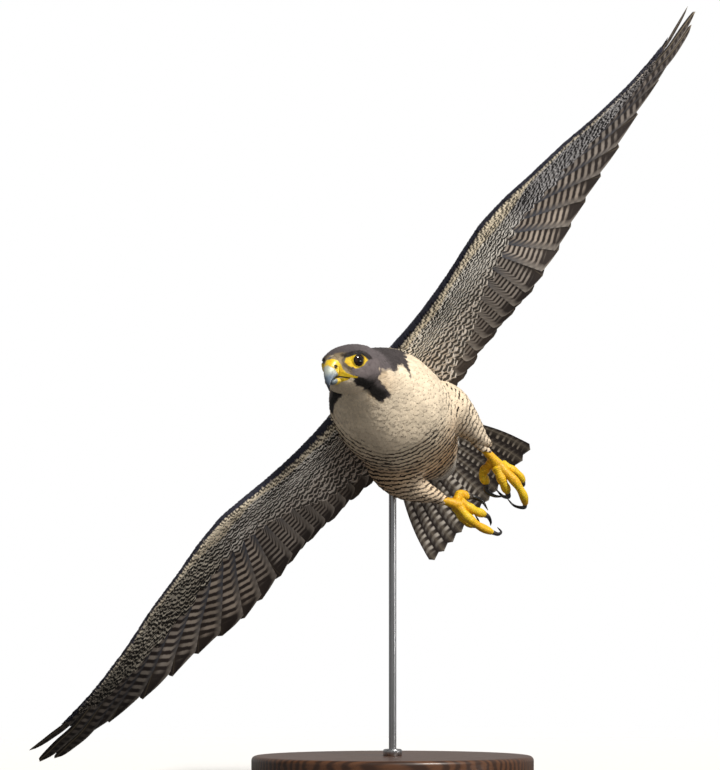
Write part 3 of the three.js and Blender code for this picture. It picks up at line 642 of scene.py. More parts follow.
def lamp(name, toward, strength, angle, colour):
    """A wide soft light that shines from a direction."""
    data = bpy.data.lights.new(name, "SUN")
    data.energy, data.angle, data.color = strength, math.radians(angle), colour
    o = bpy.data.objects.new(name, data)
    d = unit(np.array(toward, float))
    from mathutils import Vector
    o.rotation_mode = "QUATERNION"
    o.rotation_quaternion = Vector(d).to_track_quat("Z", "Y")
    o.location = Vector(d * 5)
    bpy.context.scene.collection.objects.link(o)


lamp("key", (0.42, -0.50, 0.76), 3.5, 10, (1.0, 0.965, 0.90))
lamp("fill", (0.93, -0.28, -0.30), 1.5, 40, (1.0, 0.96, 0.92))
world = bpy.data.worlds.new("room")
bpy.context.scene.world = world
world.use_nodes = True
wt = world.node_tree
wt.nodes.clear()
shown, lit = wt.nodes.new("ShaderNodeBackground"), wt.nodes.new("ShaderNodeBackground")
shown.inputs[0].default_value, shown.inputs[1].default_value = (1, 1, 1, 1), 1.0
lit.inputs[0].default_value, lit.inputs[1].default_value = (1.0, 0.98, 0.955, 1), 0.33
seen, pick, out = wt.nodes.new("ShaderNodeLightPath"), wt.nodes.new("ShaderNodeMixShader"), wt.nodes.new("ShaderNodeOutputWorld")
wt.links.new(seen.outputs["Is Camera Ray"], pick.inputs[0])
wt.links.new(lit.outputs[0], pick.inputs[1])
wt.links.new(shown.outputs[0], pick.inputs[2])
wt.links.new(pick.outputs[0], out.inputs[0])
bpy.context.scene.view_settings.view_transform = "Standard"
bpy.context.scene.view_settings.look = "None"

r = np.linspace(0, 2000, 22)[1:]
q = np.linspace(0, 2 * math.pi, 72, endpoint=False)
disc = np.stack([r[:, None] * np.cos(q), r[:, None] * np.sin(q), np.full((len(r), len(q)), -0.6)], -1).reshape(-1, 3)
faces = ring_faces(len(r), len(q))
centre = np.stack([np.arange(72), (np.arange(72) + 1) % 72, np.full(72, len(disc))], -1)
floor = make("floor", np.vstack([disc, [[0, 0, -0.6]]]), [faces, centre], stage_material())


# ------------------------------------------------------------------ colours of the bird
CREAM, BUFF, WARM = lin(241, 224, 198), lin(222, 196, 160), lin(222, 188, 150)
BAR, SLATE, DEEP = lin(44, 34, 28), lin(88, 92, 102), lin(44, 44, 50)
MALAR, CHEEK, CROWN, LORE = lin(30, 27, 26), lin(116, 107, 108), lin(100, 93, 95), lin(150, 132, 102)
YELLOW, YELLOW_DEEP, LID_AND_SHADOW = lin(252, 214, 40), lin(238, 184, 22), lin(20, 17, 15)

RING_SHAPE = np.array([(25.4, 3.4), (23.2, -1.6), (18.6, -5.0), (12.4, -4.6), (6.6, -2.6), (0.6, 2.9), (4.6, 8.2), (10, 10.6),
                       (17.7, 9.6), (23, 8.0)])
DARK_SHAPE = np.array([(28, 14), (25.5, 9.5), (24.6, 2), (24.4, -5), (23.2, -10), (20.5, -14), (20.5, -17), (15, -22), (2, -25), (-12, -29.5),
                       (-18, -33), (-24, -37.5), (-30, -34), (-32, -30), (-29, -26), (-23, -21), (-18.5, -18), (-20, -14),
                       (-18, -10.5), (-16.5, -8.5), (-22, -7), (-28, -5.5), (-36, -6), (-39, -9), (-42, -13), (-43.5, -7), (-46, -2.5),
                       (-57, -1), (-60, -16.5), (-64, -3.5), (-71, 0), (-77, 9), (-87, 16), (-98, 26), (-98, 80), (28, 80)])
MALAR_SHAPE = np.array([(19.5, -13), (20.5, -17), (15, -22), (2, -25), (-12, -29.5), (-18, -33), (-24, -37.5), (-30, -34), (-29, -29),
                        (-20, -24), (-8, -20.5), (4, -17.5), (12, -14.8)])
CERE_SHAPE = np.array([(36, 8.8), (31.6, 7.8), (28.9, 4.6), (28.2, 1.2), (27.6, -3.5), (25.5, -8.2), (22.5, -10.8), (16.6, -13.8), (17.6, -15.0),
                       (22.7, -13.6), (27.8, -11.0), (36, -10)])
JAW_SHAPE = np.array([(34, -12.0), (27, -12.4), (22.2, -14.2), (23.4, -15.6), (28.5, -16.8), (34, -17.5)])


def inside(x, y, shape):
    """Signed distance to a closed outline, positive inside it."""
    p = np.stack([x, y], -1)
    best = np.full(x.shape, 1e9)
    odd = np.zeros(x.shape, bool)
    for a, b in zip(shape, np.roll(shape, -1, 0)):
        ab = b - a
        t = np.clip(((p - a) @ ab) / (ab @ ab), 0, 1)
        best = np.minimum(best, np.linalg.norm(p - a - t[..., None] * ab, axis=-1))
        crosses = (a[1] > y) != (b[1] > y)
        with np.errstate(divide="ignore", invalid="ignore"):
            odd ^= crosses & (x < (b[0] - a[0]) * (y - a[1]) / (b[1] - a[1]) + a[0])
    return np.where(odd, best, -best)


def near_line(x, y, line):
    p = np.stack([x, y], -1)
    best = np.full(x.shape, 1e9)
    for a, b in zip(line[:-1], line[1:]):
        a, b = np.array(a, float), np.array(b, float)
        t = np.clip(((p - a) @ (b - a)) / ((b - a) @ (b - a)), 0, 1)
        best = np.minimum(best, np.linalg.norm(p - a - t[..., None] * (b - a), axis=-1))
    return best


def eye_angle(h):
    """Angle from the eye's axis and direction round it, for points in head axes (either side)."""
    p = h * [1, 1, 1]
    p = np.stack([p[..., 0], np.abs(p[..., 1]), p[..., 2]], -1)
    d = p - EYE_AT
    rho = np.linalg.norm(d, axis=-1)
    d = d / np.maximum(rho[..., None], 1e-9)
    up = unit(np.array([0, 0, 1.0]) - GAZE * GAZE[2])
    fore = np.cross(up, GAZE)
    return np.arccos(np.clip(d @ GAZE, -1, 1)), np.arctan2(d @ up, d @ fore), rho, d


def aperture(phi):
    """Half opening of the lids, narrowed along the top."""
    return np.radians(45.0 - 7.0 * np.clip(np.sin(phi), 0, 1) ** 2 - 3.0 * np.clip(-np.sin(phi), 0, 1) ** 2)


def thigh_axis(side):
    rows = np.array(THIGHS[side], float)
    p, length = catmull(W(rows[:, :3]), 40)
    return p, curve([(i / 5, r) for i, r in enumerate(rows[:, 3])])(np.linspace(0, 1, 40)), length


THIGH_LINES = {side: thigh_axis(side) for side in (1, -1)}


def thigh_place(x, side):
    """Distance from the thigh's axis over its radius, place along it, and its direction there."""
    p, r, _ = THIGH_LINES[side]
    d = np.linalg.norm(x[:, None] - p[None], axis=-1)
    i = d.argmin(1)
    t = unit(np.gradient(p, axis=0))
    return d[np.arange(len(x)), i] / r[i], i / 39.0, t[i]


def paint(x):
    """Tint, ink and pattern (phase, duty, strength) of the small feathers and the skin at points x."""
    h, b = head(x), body(x)
    n = x.shape[:-1]
    bx, bl, bu = b[..., 0], b[..., 1], b[..., 2]
    hx, hl, hu = h[..., 0], h[..., 1], h[..., 2]
    w1 = wave(x, 1, 16)
    w2 = wave(x, 2, 7)
    # breast, belly and flanks
    warm = smooth(-40, -90, bx) * 0.55 + 0.25 * smooth(0.2, 1.2, w1) * smooth(20, -30, bx)
    warm = np.clip(warm * mix(1, 0.25, smooth(25, 50, bl)), 0, 1)
    tint = mix(CREAM, WARM, np.clip(warm + 0.30 * smooth(0.1, 1.0, w1) * smooth(-20, 20, bx), 0, 1)[..., None])
    tint = mix(tint, lin(206, 198, 186), (smooth(-180, -215, bx))[..., None])
    w3 = wave(x, 3, 3.2)
    # the bars lie in rings round the plain breast
    w = un_w(x)
    ring_at = np.hypot(w[..., 0] - 13, w[..., 1] - 30.6) - 0.12 * (w[..., 2] - 20)
    below = mix(60, 56, smooth(-10, 30, w[..., 0])) - ring_at
    phase = ring_at / 4.7 + 0.26 * w1 + 0.12 * w3
    duty = 0.33 + 0.08 * smooth(0, -40, below) + 0.05 * w3
    strength = smooth(4, -6, below + 2.0 * w2)
    spot = smooth(8, 28, w[..., 0]) * smooth(-42, -28, below) + 0.85 * smooth(-7, -1, below)
    spot = np.clip(spot, 0, 1)
    leg = np.zeros(n)
    for s_side in (1, -1):
        close_by, s_leg, _ = thigh_place(x.reshape(-1, 3), s_side)
        leg = np.maximum(leg, (smooth(1.45, 1.1, close_by) * smooth(0.2, 0.5, s_leg)).reshape(n) * (1.0 if s_side > 0 else 0.6))
    tint = mix(tint, lin(240, 222, 198), (0.75 * leg)[..., None])
    duty = duty - 0.10 * leg
    strength = strength * (1 - 0.18 * leg)
    spot = spot * (1 - leg)
    vent = smooth(-185, -215, bx)
    phase = np.where(vent > 0.5, bx / 9.0 + 0.2 * w1, phase)
    duty = mix(duty, 0.24, vent)
    strength = mix(strength, 0.75, vent)
    ink = np.broadcast_to(BAR, n + (3,)).copy()
    # upper side, with the rump above the tail
    back = smooth(-3, 7, bu - 6 * smooth(0, 40, bx) + 1.5 * w2) * smooth(48, 10, bx)
    over = bu - TAIL_TOP + TAIL_DROP * np.clip((TAIL_FROM - bx) / TAIL_LENGTH, 0, 1) - TAIL_ROLL * bl
    back = np.maximum(back, smooth(-1, 2, over + 0.5 * w2) * smooth(-160, -180, bx))
    tint = mix(tint, SLATE * 1.25, back[..., None])
    ink = mix(ink, DEEP, back[..., None])
    up = back > 0.5
    phase = np.where(up, bx / 8.5 + 0.25 * w1, phase)
    duty = np.where(up, 0.42, duty)
    strength = np.where(up, 0.75, strength)
    spot = np.where(up, 0, spot)
    # head and neck
    ax = np.where(hl >= 0, hx, hx + 4 * smooth(-8, -24, hu))
    ragged = smooth(16, -8, hx)
    dark = inside(ax + (0.7 + 1.2 * ragged) * w2 + 1.3 * ragged * w3, hu + (0.6 + 0.8 * ragged) * w2 + 0.8 * ragged * w3, DARK_SHAPE)
    near = np.where(hu < -18, smooth(6, 10, np.abs(hl)), 1.0)
    far = np.where((hl < 0) & (hx < -38), 0.0, 1.0)
    loose = smooth(-10, -16, hx) * smooth(-40, -34, hx) * smooth(-14, -10, hu)
    k = smooth(-0.7 - 1.6 * loose, 0.7 + 1.2 * loose, dark + 0.8 * loose * w3) * near * far * smooth(-105, -92, hx)
    neck_back = smooth(-2, 4, hu + 0.25 * (hx + 45)) * smooth(-30, -42, hx) * smooth(-110, -60, hx)
    k = np.maximum(k, np.where(hl < 4, neck_back, 0))
    fringe = smooth(-6, -1, dark) * smooth(3, 0, dark) * smooth(-6, -13, hx) * smooth(-36, -30, hx) * smooth(8, 2, hu)
    tint = mix(tint, BUFF * 0.8, (0.75 * fringe * smooth(-0.8, 0.6, w3))[..., None])
    face = np.broadcast_to(CROWN, n + (3,)).copy()
    cheek = smooth(7, 1, hu) * smooth(-34, -14, hx)
    face = mix(face, CHEEK, cheek[..., None])
    face = mix(face, MALAR * 2.2, (smooth(-9, -20, hu) * 0.55 + 0.16 * smooth(0.2, 1.2, w3) * smooth(8, 0, hu))[..., None])
    malar = smooth(-2.2, 1.6, inside(ax + 0.9 * w2, hu + 0.7 * w3, MALAR_SHAPE))
    face = mix(face, MALAR, malar[..., None])
    face = mix(face, MALAR, (smooth(-34, -44, hx) * 0.6)[..., None])
    tint = mix(tint, face, k[..., None])
    lore = smooth(21, 24, hx) * smooth(15, 12.5, hu) * smooth(-0.5, 2.5, np.abs(hl) + 0.6 * w3) * smooth(-13, -10, hu)
    tint = mix(tint, LORE * (1 + 0.22 * w3)[..., None], np.clip(lore * 0.85, 0, 1)[..., None])
    by_eye = smooth(2.6, 0.8, near_line(hx, hu, [(21.5, 9.0), (25.4, 5.5), (25.6, 0.5), (22.6, -4.0)])) * smooth(8, 12, np.abs(hl))
    tint = mix(tint, lin(74, 64, 54), (by_eye * 0.7)[..., None])
    # painted shadow: a dark band along the top of the eye, where the brow ridge shades it
    brow_shadow = near_line(hx, hu, [(27, 10.6), (22, 10.2), (17, 11.4), (9, 11.4), (3, 8.8), (-2, 4.6)])
    tint = mix(tint, lin(46, 40, 40), (0.85 * smooth(2.7, 1.1, brow_shadow) * smooth(8, 12, np.abs(hl)))[..., None])
    on = k > 0.4
    ink = np.where(on[..., None], face * 0.55, ink)
    phase = np.where(on, hx / 6 + 0.5 * w2, phase)
    duty = np.where(on, 0.25, duty)
    strength = np.where(on, 0.45, strength)
    spot = np.where(on, 1.0, spot)
    return tint, ink, np.stack([phase, duty, np.clip(strength, 0, 1)], -1), spot


# ------------------------------------------------------------------ skin
def skull_surface(d, grow, centre=(-1.0, 0.0, -1.0)):
    """Where rays d from the middle of the skull leave it, in head axes."""
    e, centre = 2.35, np.array(centre)
    lo, hi = np.full(len(d), 2.0), np.full(len(d), 60.0)
    x0, x1 = SKULL[0][0] - 1.5 - grow, SKULL[-1][0] + grow
    for _ in range(34):
        mid = (lo + hi) / 2
        p = centre + d * mid[:, None]
        x = np.clip(p[:, 0], SKULL[0][0], SKULL[-1][0])
        a, top, bot = skull_half(x) + grow, skull_top(x) + grow, skull_bottom(x) - grow
        m, t = (top + bot) / 2, (top - bot) / 2
        out = (np.abs(p[:, 1]) / a) ** e + (np.abs(p[:, 2] - m) / t) ** e > 1
        out |= (p[:, 0] < x0) | (p[:, 0] > x1)
        hi = np.where(out, mid, hi)
        lo = np.where(out, lo, mid)
    return centre + d * ((lo + hi) / 2)[:, None]


def ico(level):
    import bmesh
    bm = bmesh.new()
    bmesh.ops.create_icosphere(bm, subdivisions=level, radius=1.0)
    v = np.array([p.co for p in bm.verts], float)
    f = np.array([[p.index for p in q.verts] for q in bm.faces], np.int32)
    bm.free()
    return unit(v), f


def head_skin():
    d, f = ico(7)
    p = skull_surface(d, -0.9)
    side = np.where(p[:, 1] >= 0, 1.0, -1.0)
    q = p * np.stack([np.ones(len(p)), side, np.ones(len(p))], -1)
    on = smooth(6, 14, q[:, 1])
    ridge = np.exp(-((q[:, 0] - 13) / 9.5) ** 2 - ((q[:, 2] - 12.4) / 3.2) ** 2) * on
    q[:, 1] += 1.9 * ridge
    q[:, 2] += 0.6 * ridge
    hollow = np.exp(-(((q[:, 0] - 12.2) / 10.5) ** 2 + ((q[:, 2] - 3.9) / 7.4) ** 2) ** 1.6) * on
    q[:, 1] -= 2.6 * hollow
    bare = smooth(-1.5, 1.5, inside(q[:, 0], q[:, 2], RING_SHAPE))
    q[:, 1] += 0.5 * bare * on
    gape = near_line(q[:, 0], q[:, 2], [(28, -6.8), (23, -11), (16.5, -14.2)])
    q[:, 1] += 0.9 * np.exp(-(gape / 1.3) ** 2) * on
    # lids: a rim that hugs the eye, and skin that dives behind it
    alpha, phi, rho, d = eye_angle(q)
    gap = aperture(phi)
    past = alpha - gap
    rim = EYE_R + 0.75 + 0.35 * np.clip(np.sin(phi), 0, 1)
    k = smooth(math.radians(5), math.radians(24), past)
    outer = mix(rim, np.maximum(rho, EYE_R - 0.2 + 0.0 * rho), k)
    fold = 0.28 * np.exp(-((past - math.radians(8.5)) / math.radians(1.6)) ** 2)
    fold += 0.22 * np.exp(-((past - math.radians(13.5)) / math.radians(1.6)) ** 2)
    outer = outer - fold
    new = np.where(past < 0, EYE_R - 1.6, outer)
    use = (alpha < math.radians(75)) & (q[:, 1] > 8)
    q = np.where(use[:, None], EYE_AT + d * new[:, None], q)
    q[:, 1] *= side
    return H(q), [f], q


def face_paint(x):
    """Tint of the skin, with the bare ring, lids, lores and gape painted on."""
    tint = paint(x)[0]
    h = head(x)
    a, ah = h[..., 0], h[..., 2]
    al = np.abs(h[..., 1])
    on = smooth(7, 11, al) * smooth(-16, -10, a)
    ring = smooth(-0.4, 0.4, inside(a, ah, RING_SHAPE)) * on
    shade = mix(YELLOW, YELLOW_DEEP, smooth(-0.6, 1.0, wave(x, 5, 1.6))[..., None] * 0.6)
    tint = mix(tint, shade, ring[..., None])
    alpha, phi, rho, d = eye_angle(h)
    past = np.degrees(alpha - aperture(phi))
    rim = smooth(2.6, 1.6, past) * (al > 8) * mix(0.55, 1.0, smooth(-0.2, 0.4, np.sin(phi)))
    tint = mix(tint, LID_AND_SHADOW, rim[..., None])
    # painted shadow: the skin along the top of the eye ring is painted near-black where the brow ridge shades it; the
    # same near-black serves the real lid margin
    brow_shadow = near_line(a, ah, [(26, 9.3), (22, 8.9), (17, 10.2), (9, 10.2), (3, 7.6), (-1, 4.2)])
    tint = mix(tint, LID_AND_SHADOW, (smooth(1.6, 0.8, brow_shadow) * on)[..., None])
    bare = smooth(-0.3, 0.3, np.maximum(inside(a, ah, CERE_SHAPE), inside(a, ah, JAW_SHAPE))) * smooth(14, 18, a)
    tint = mix(tint, shade, bare[..., None])
    # painted shadow: a near-black line along the gape, where the jaws meet
    gape_shadow = near_line(a, ah, [(34, -10.4), (30.5, -10.2), (27.4, -11.6), (22.6, -13.9)])
    tint = mix(tint, LID_AND_SHADOW, (smooth(0.75, 0.4, gape_shadow) * smooth(14, 18, a))[..., None])
    return tint


def trunk_rings(grow, n=64, steps=70):
    rings = []
    for x in np.linspace(TRUNK[0][0] - grow * 0.5, TRUNK[-1][0] + grow, steps):
        a, top, bot = trunk_half(x) + grow, trunk_top(x) + grow, trunk_bottom(x) - grow
        m = mix(top, bot, 0.47)
        q = 2 * math.pi * np.arange(n) / n
        c, s, e = np.cos(q), np.sin(q), 2 / 2.25
        l = a * np.sign(c) * np.abs(c) ** e
        u = np.abs(s) ** e
        rings.append(B(np.stack([np.full(n, x), l, np.where(s >= 0, m + (top - m) * u, m - (m - bot) * u)], -1)))
    return rings


def tube(path, radius, n=24, steps=40, seed=(0.2, 0.9, 0.3), shape=None, tip=0.45):
    """Closed round solid along a path; radius and shape(s, angle) set its surface."""
    p, length = catmull(path, steps + 1)
    t, a, b = frames_along(p, unit(np.array(seed, float)))
    s = np.linspace(0, 1, steps + 1)
    q = 2 * math.pi * np.arange(n) / n
    r = radius(s)[:, None] * np.ones(n)
    if shape is not None:
        r = r + shape(s[:, None] * length, q[None, :], length)
    rings = p[:, None] + r[..., None] * (np.cos(q)[None, :, None] * a[:, None] + np.sin(q)[None, :, None] * b[:, None])
    r0, r1 = radius(s[:1])[0], radius(s[-1:])[0]
    # round ends, as two small rings each
    cap0 = [p[0] - t[0] * r0 * tip * z + (rings[0] - p[0]) * k for z, k in ((0.95, 0.35), (0.6, 0.8))]
    cap1 = [p[-1] + t[-1] * r1 * tip * z + (rings[-1] - p[-1]) * k for z, k in ((0.6, 0.8), (0.95, 0.35))]
    rings = np.concatenate([np.stack(cap0), rings, np.stack(cap1)])
    return loft(rings, p[0] - t[0] * r0 * tip, p[-1] + t[-1] * r1 * tip)


def foot_parts(side):
    """Tarsus, toes with joint bulges, scutes above and pads below."""
    foot = FEET[side]
    parts = []

    def scutes(pitch, high, pads):
        def f(x, q, length):
            top = np.clip(np.cos(q), 0, 1) ** 0.7
            low = np.clip(-np.cos(q), 0, 1)
            saw = (x / pitch) % 1.0
            plate = np.minimum(saw / 0.25, 1) * np.minimum((1 - saw) / 0.25, 1)
            bumps = np.clip(np.sin(x * 3.1) * np.sin(q * 9), 0, 1) * 0.18
            return high * (plate - 1) * top + low * (pads * np.abs(np.sin(np.pi * x / 8.2)) + bumps) + bumps * 0.5
        return f
    front = W([0, 0, 1]) - W([0, 0, 0])
    path = WF(foot["tarsus"])
    parts.append(tube(path, lambda s: mix(4.7, 6.4, s ** 2.5) - 0.7 * np.sin(np.pi * s), 36, 54, front, scutes(2.7, 0.35, 0.0)))
    joint = path[-1]
    for name in ("middle", "inner", "outer", "hind"):
        toe, (ra, rb), claw = foot[name]

        def radius(s, ra=ra, rb=rb):
            return mix(ra, rb, s ** 0.8) * (1 + 0.09 * np.cos(5 * np.pi * s)) * mix(1, 0.86, smooth(0.93, 1, s))
        parts.append(tube(WF(toe), radius, 32, 60, front, scutes(2.1, 0.42, 0.55), 0.5))
    v, f = ico(4)
    down = unit(W([0, 1, 0]) - W([0, 0, 0]))
    palm = np.mean([WF(foot[n][0])[0] for n in ("middle", "inner", "outer")], 0)
    parts.append((palm + v * 6.4, [f]))
    return parts


def wing_flesh(side):
    ls = np.concatenate([np.linspace(20, 250, 60), np.linspace(256, 452, 34)])
    q = np.linspace(0, 1, 16)
    reach = mix(0.60, 0.34, smooth(30, 260, ls))
    rings = []
    for l, m in zip(ls, reach):
        t = 0.02 + (m - 0.02) * q ** 1.5
        c = t * chord(l)
        h = np.maximum(wing_half(np.full(16, l), c) - 1.5, 0.22)
        h[-1] = 0.16
        over = wing_point(side, np.full(16, l), c, h)
        under = wing_point(side, np.full(16, l), c, -h)
        nose = wing_point(side, np.array([l]), np.array([0.012 * chord(l)]), np.array([0.0]))
        rings.append(np.vstack([nose, over, under[::-1]]))
    return loft(rings)


def remesh(o, voxel, rounds):
    m = o.modifiers.new("remesh", "REMESH")
    m.mode, m.voxel_size, m.use_smooth_shade = "VOXEL", voxel * 0.001, True
    s = o.modifiers.new("smooth", "SMOOTH")
    s.factor, s.iterations = 0.5, rounds
    return apply_modifiers(o)


def bvh_of(o):
    v, n = mesh_arrays(o)
    me = o.data
    me.calc_loop_triangles()
    t = np.zeros(len(me.loop_triangles) * 3, np.int32)
    me.loop_triangles.foreach_get("vertices", t)
    t = t.reshape(-1, 3)
    return BVHTree.FromPolygons(v.tolist(), t.tolist()), v, n, t


COAT = 3.0                       # depth of the breast feathers over the skin
core_parts = [loft(trunk_rings(-COAT), B([TRUNK[0][0] - 1, 0, -20]))]
for side in (1, -1):
    rows = np.array(THIGHS[side], float)
    grow = curve([(i / 5, r) for i, r in enumerate(rows[:, 3])])
    core_parts.append(tube(W(rows[:, :3]), lambda s, g=grow: np.maximum(g(s) - mix(3.0, 1.6, s), 2.5), 32, 26))
core = remesh(merged("core", core_parts), 2.6, 6)
head_verts, head_faces, _ = head_skin()
skin = make("skin", head_verts, head_faces)
pieces_of_skin = [core]
for side in (1, -1):
    pieces_of_skin.append(merged("flesh", [wing_flesh(side)]))
    toes = foot_parts(side)
    foot = merged("foot", toes[:1])
    for part in toes[1:]:
        foot = boolean_union(foot, merged("toe", [part]))
    pieces_of_skin.append(foot)
for o in pieces_of_skin:
    skin = boolean_union(skin, o)
bvh, skin_v, _, skin_t = bvh_of(skin)


def finish_skin():
    """Splits the feet's faces to their own material and writes the tints."""
    me = skin.data
    me.materials.clear()
    me.materials.append(MAT_SKIN)
    me.materials.append(MAT_FOOT)
    v = skin_v
    tint = face_paint(v)
    b = body(v)
    w = un_w(v)
    # wings: one grey-brown tint
    wing = (np.abs(w[:, 0]) > 62) & (b[:, 0] > -140) & (head(v)[:, 0] < -30)
    tint = np.where(wing[:, None], lin(120, 108, 92), tint)
    foot = (w[:, 1] > 138) & (w[:, 2] < -78) & (np.abs(w[:, 0]) < 60) & (b[:, 2] < -60)
    shade = mix(lin(255, 218, 36), lin(252, 192, 22), smooth(-0.8, 1.2, wave(v, 9, 5))[:, None])
    tint = np.where(foot[:, None], shade, tint)
    me.attributes.new("tint", "FLOAT_COLOR", "POINT").data.foreach_set("color", rgba(tint).astype(np.float32).ravel())
    tri = np.zeros(len(me.polygons), np.int32)
    me.polygons.foreach_get("loop_start", tri)
    loops = np.zeros(len(me.loops), np.int32)
    me.loops.foreach_get("vertex_index", loops)
    me.polygons.foreach_set("material_index", foot[loops[tri]].astype(np.int32))
    me.polygons.foreach_set("use_smooth", np.ones(len(me.polygons), bool))
    me.update()
    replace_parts(skin, "trunk", "neck", "head", "thigh_left", "thigh_right", "foot_left", "foot_right",
                "wing_left_arm", "wing_right_arm", "wing_left_hand", "wing_right_hand")
    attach(skin, "root")


finish_skin()


# ------------------------------------------------------------------ bill, eyes, claws
def bill_upper():
    m, n = 96, 96
    s = np.linspace(0, 1, m)
    cols = [curve([(i / 7, row[j]) for i, row in enumerate(BILL)])(s) for j in range(5)]
    cx, cz, bx, bz, w = [c[:, None] for c in cols]
    length = np.hypot(cx - bx, cz - bz)
    ex, ez = (cx - bx) / length, (cz - bz) / length
    q = 2 * math.pi * np.arange(n)[None, :] / n
    c, t = np.cos(q), np.sin(q)
    up = np.where(t > 0, 0.5 + 0.5 * t, 0.5 + 0.5 * np.sign(t) * np.abs(t) ** 0.7)
    h = up * length
    wide = w * np.sign(c) * np.abs(c) ** 0.85 * np.where(t > 0, 1, 0.92)
    x, z = bx + ex * h, bz + ez * h
    # cere: a soft swelling behind a shallow step, and the tooth on the cutting edge
    front = np.minimum(37.6 + 0.96 * z, 38.9) + 0.35 * np.cos(z * 1.1)
    cere = smooth(front + 0.5, front - 0.7, x) * smooth(-11.5, -9.5, z)
    swell = 0.45 * cere
    k = np.sign(wide)
    wide = wide + swell * np.clip(np.abs(c), 0.2, 1) * k
    z = z + swell * np.clip(t, 0, 1)
    edge = smooth(-0.45, -0.9, t)
    tooth = np.exp(-((x - 37.6) / 0.9) ** 2) * edge * smooth(30, 34, x)
    notch = np.exp(-((x - 39.5) / 0.8) ** 2) * edge
    z = z - 0.9 * tooth + 0.7 * notch
    # nostril: round, with a small rod in its middle
    side = np.abs(wide)
    dn = np.hypot((x - 33.3), (z + 0.4))
    hole = smooth(2.3, 1.7, dn)
    rod = smooth(0.5, 0.3, dn)
    rim = np.exp(-((dn - 2.7) / 0.5) ** 2)
    wide = wide - k * (1.5 * hole - 0.9 * rod * hole - 0.22 * rim) * (side > 2)
    p = np.stack([x, wide, z], -1)
    verts, faces = loft(H(p.reshape(m, n, 3)), None, H(BILL_TIP))
    hv = head(verts)
    a, al, au = hv[:, 0], np.abs(hv[:, 1]), hv[:, 2]
    horn = mix(lin(232, 238, 222), lin(112, 128, 146), smooth(-1.5, -11, au)[:, None])
    horn = mix(horn, lin(52, 58, 70), smooth(-11, -19, au)[:, None])
    horn = mix(horn, lin(120, 130, 136), (smooth(5.0, 2.0, al) * smooth(-12, 0, au) * 0.4)[:, None])
    fr = np.minimum(37.4 + 0.90 * au, 38.9) + 0.35 * np.cos(au * 1.1)
    yellow = smooth(fr + 0.9, fr - 0.6, a) * smooth(-11.0, -10.2, au)
    skin_y = mix(YELLOW, YELLOW_DEEP, (0.5 * smooth(-0.5, 1, wave(verts, 11, 1.4)))[:, None])
    tint = mix(horn, skin_y, yellow[:, None])
    brow_end = smooth(-0.5, 0.5, au - np.interp(a, [28.5, 31.5, 36], [4.8, 8.1, 9.4]) + 0.4 * wave(verts, 12, 1.0))
    feathers = mix(CROWN * 0.8, LORE, smooth(0.5, 3.0, al)[:, None])
    tint = mix(tint, feathers, (brow_end * smooth(35.5, 34, a))[:, None])
    d = np.hypot(a - 33.3, au + 0.4)
    tint = mix(tint, lin(250, 222, 110), (smooth(3.2, 2.4, d) * (al > 3) * 0.6)[:, None])
    # painted shade: the shallow nostril hollow is painted near-black for the depth of the opening, the rod in it paler
    tint = mix(tint, lin(18, 12, 9), (smooth(2.3, 1.8, d) * (al > 3))[:, None])
    tint = mix(tint, lin(120, 90, 40), (smooth(0.5, 0.3, d) * (al > 3))[:, None])
    # painted shadow: a dark line along the cutting edge of the upper bill, where it overhangs the lower
    tint = mix(tint, lin(40, 38, 38), (smooth(1.3, 0.5, near_line(a, au, [(30, -10.0), (34, -11.7), (37.4, -14.0), (39.2, -17)])) * 0.85)[:, None])
    return make("bill_upper_horn", verts, faces, MAT_BILL, {"tint": rgba(tint)})


def bill_lower():
    m, n = 60, 64
    s = np.linspace(0, 1, m)
    x, top, bot, w = [curve([(i / 4, row[j]) for i, row in enumerate(JAW)])(s)[:, None] for j in range(4)]
    q = 2 * math.pi * np.arange(n)[None, :] / n
    c, t = np.cos(q), np.sin(q)
    mid = mix(bot, top, 0.62)
    z = np.where(t > 0, mid + (top - mid) * np.abs(t) ** 0.6, mid - (mid - bot) * np.abs(t))
    p = np.stack([x + 0 * c, (w - 0.25) * c, z], -1)
    verts, faces = loft(H(p), None, H([37.8, 0, -16.2]))
    hv = head(verts)
    tint = mix(lin(240, 204, 60), lin(128, 140, 146), smooth(31.0, 32.4, hv[:, 0])[:, None])
    tint = mix(tint, lin(70, 76, 86), smooth(36, 38.5, hv[:, 0])[:, None])
    return make("bill_lower_horn", verts, faces, MAT_BILL, {"tint": rgba(tint)})


def eye(side):
    """Dark brown globe with a raised clear front, its pole along the gaze."""
    m, n = 48, 64
    a = np.linspace(0, math.pi, m + 1)[1:-1][:, None]
    q = 2 * math.pi * np.arange(n)[None, :] / n
    up = unit(np.array([0, 0, 1.0]) - GAZE * GAZE[2])
    fore = np.cross(up, GAZE)
    r = EYE_R - 0.15 + 0.5 * np.exp(-(a / math.radians(26)) ** 2) + 0 * q
    d = np.cos(a)[..., None] * GAZE + np.sin(a)[..., None] * (np.cos(q)[..., None] * fore + np.sin(q)[..., None] * up)
    p = EYE_AT + d * r[..., None]
    front, rear = EYE_AT + GAZE * (EYE_R + 0.35), EYE_AT - GAZE * (EYE_R - 0.15)
    p = p * [1, side, 1]
    verts, faces = loft(H(p), H(front * [1, side, 1]), H(rear * [1, side, 1]))
    alpha = eye_angle(head(verts))[0]
    deg = np.degrees(alpha)
    tint = mix(lin(8, 6, 6), lin(40, 23, 14), smooth(18.5, 20.5, deg)[:, None])
    tint = mix(tint, lin(14, 9, 7), smooth(33, 39, deg)[:, None])
    return make("eye_globe_" + ("left" if side > 0 else "right"), verts, faces, MAT_EYE, {"tint": rgba(tint)})


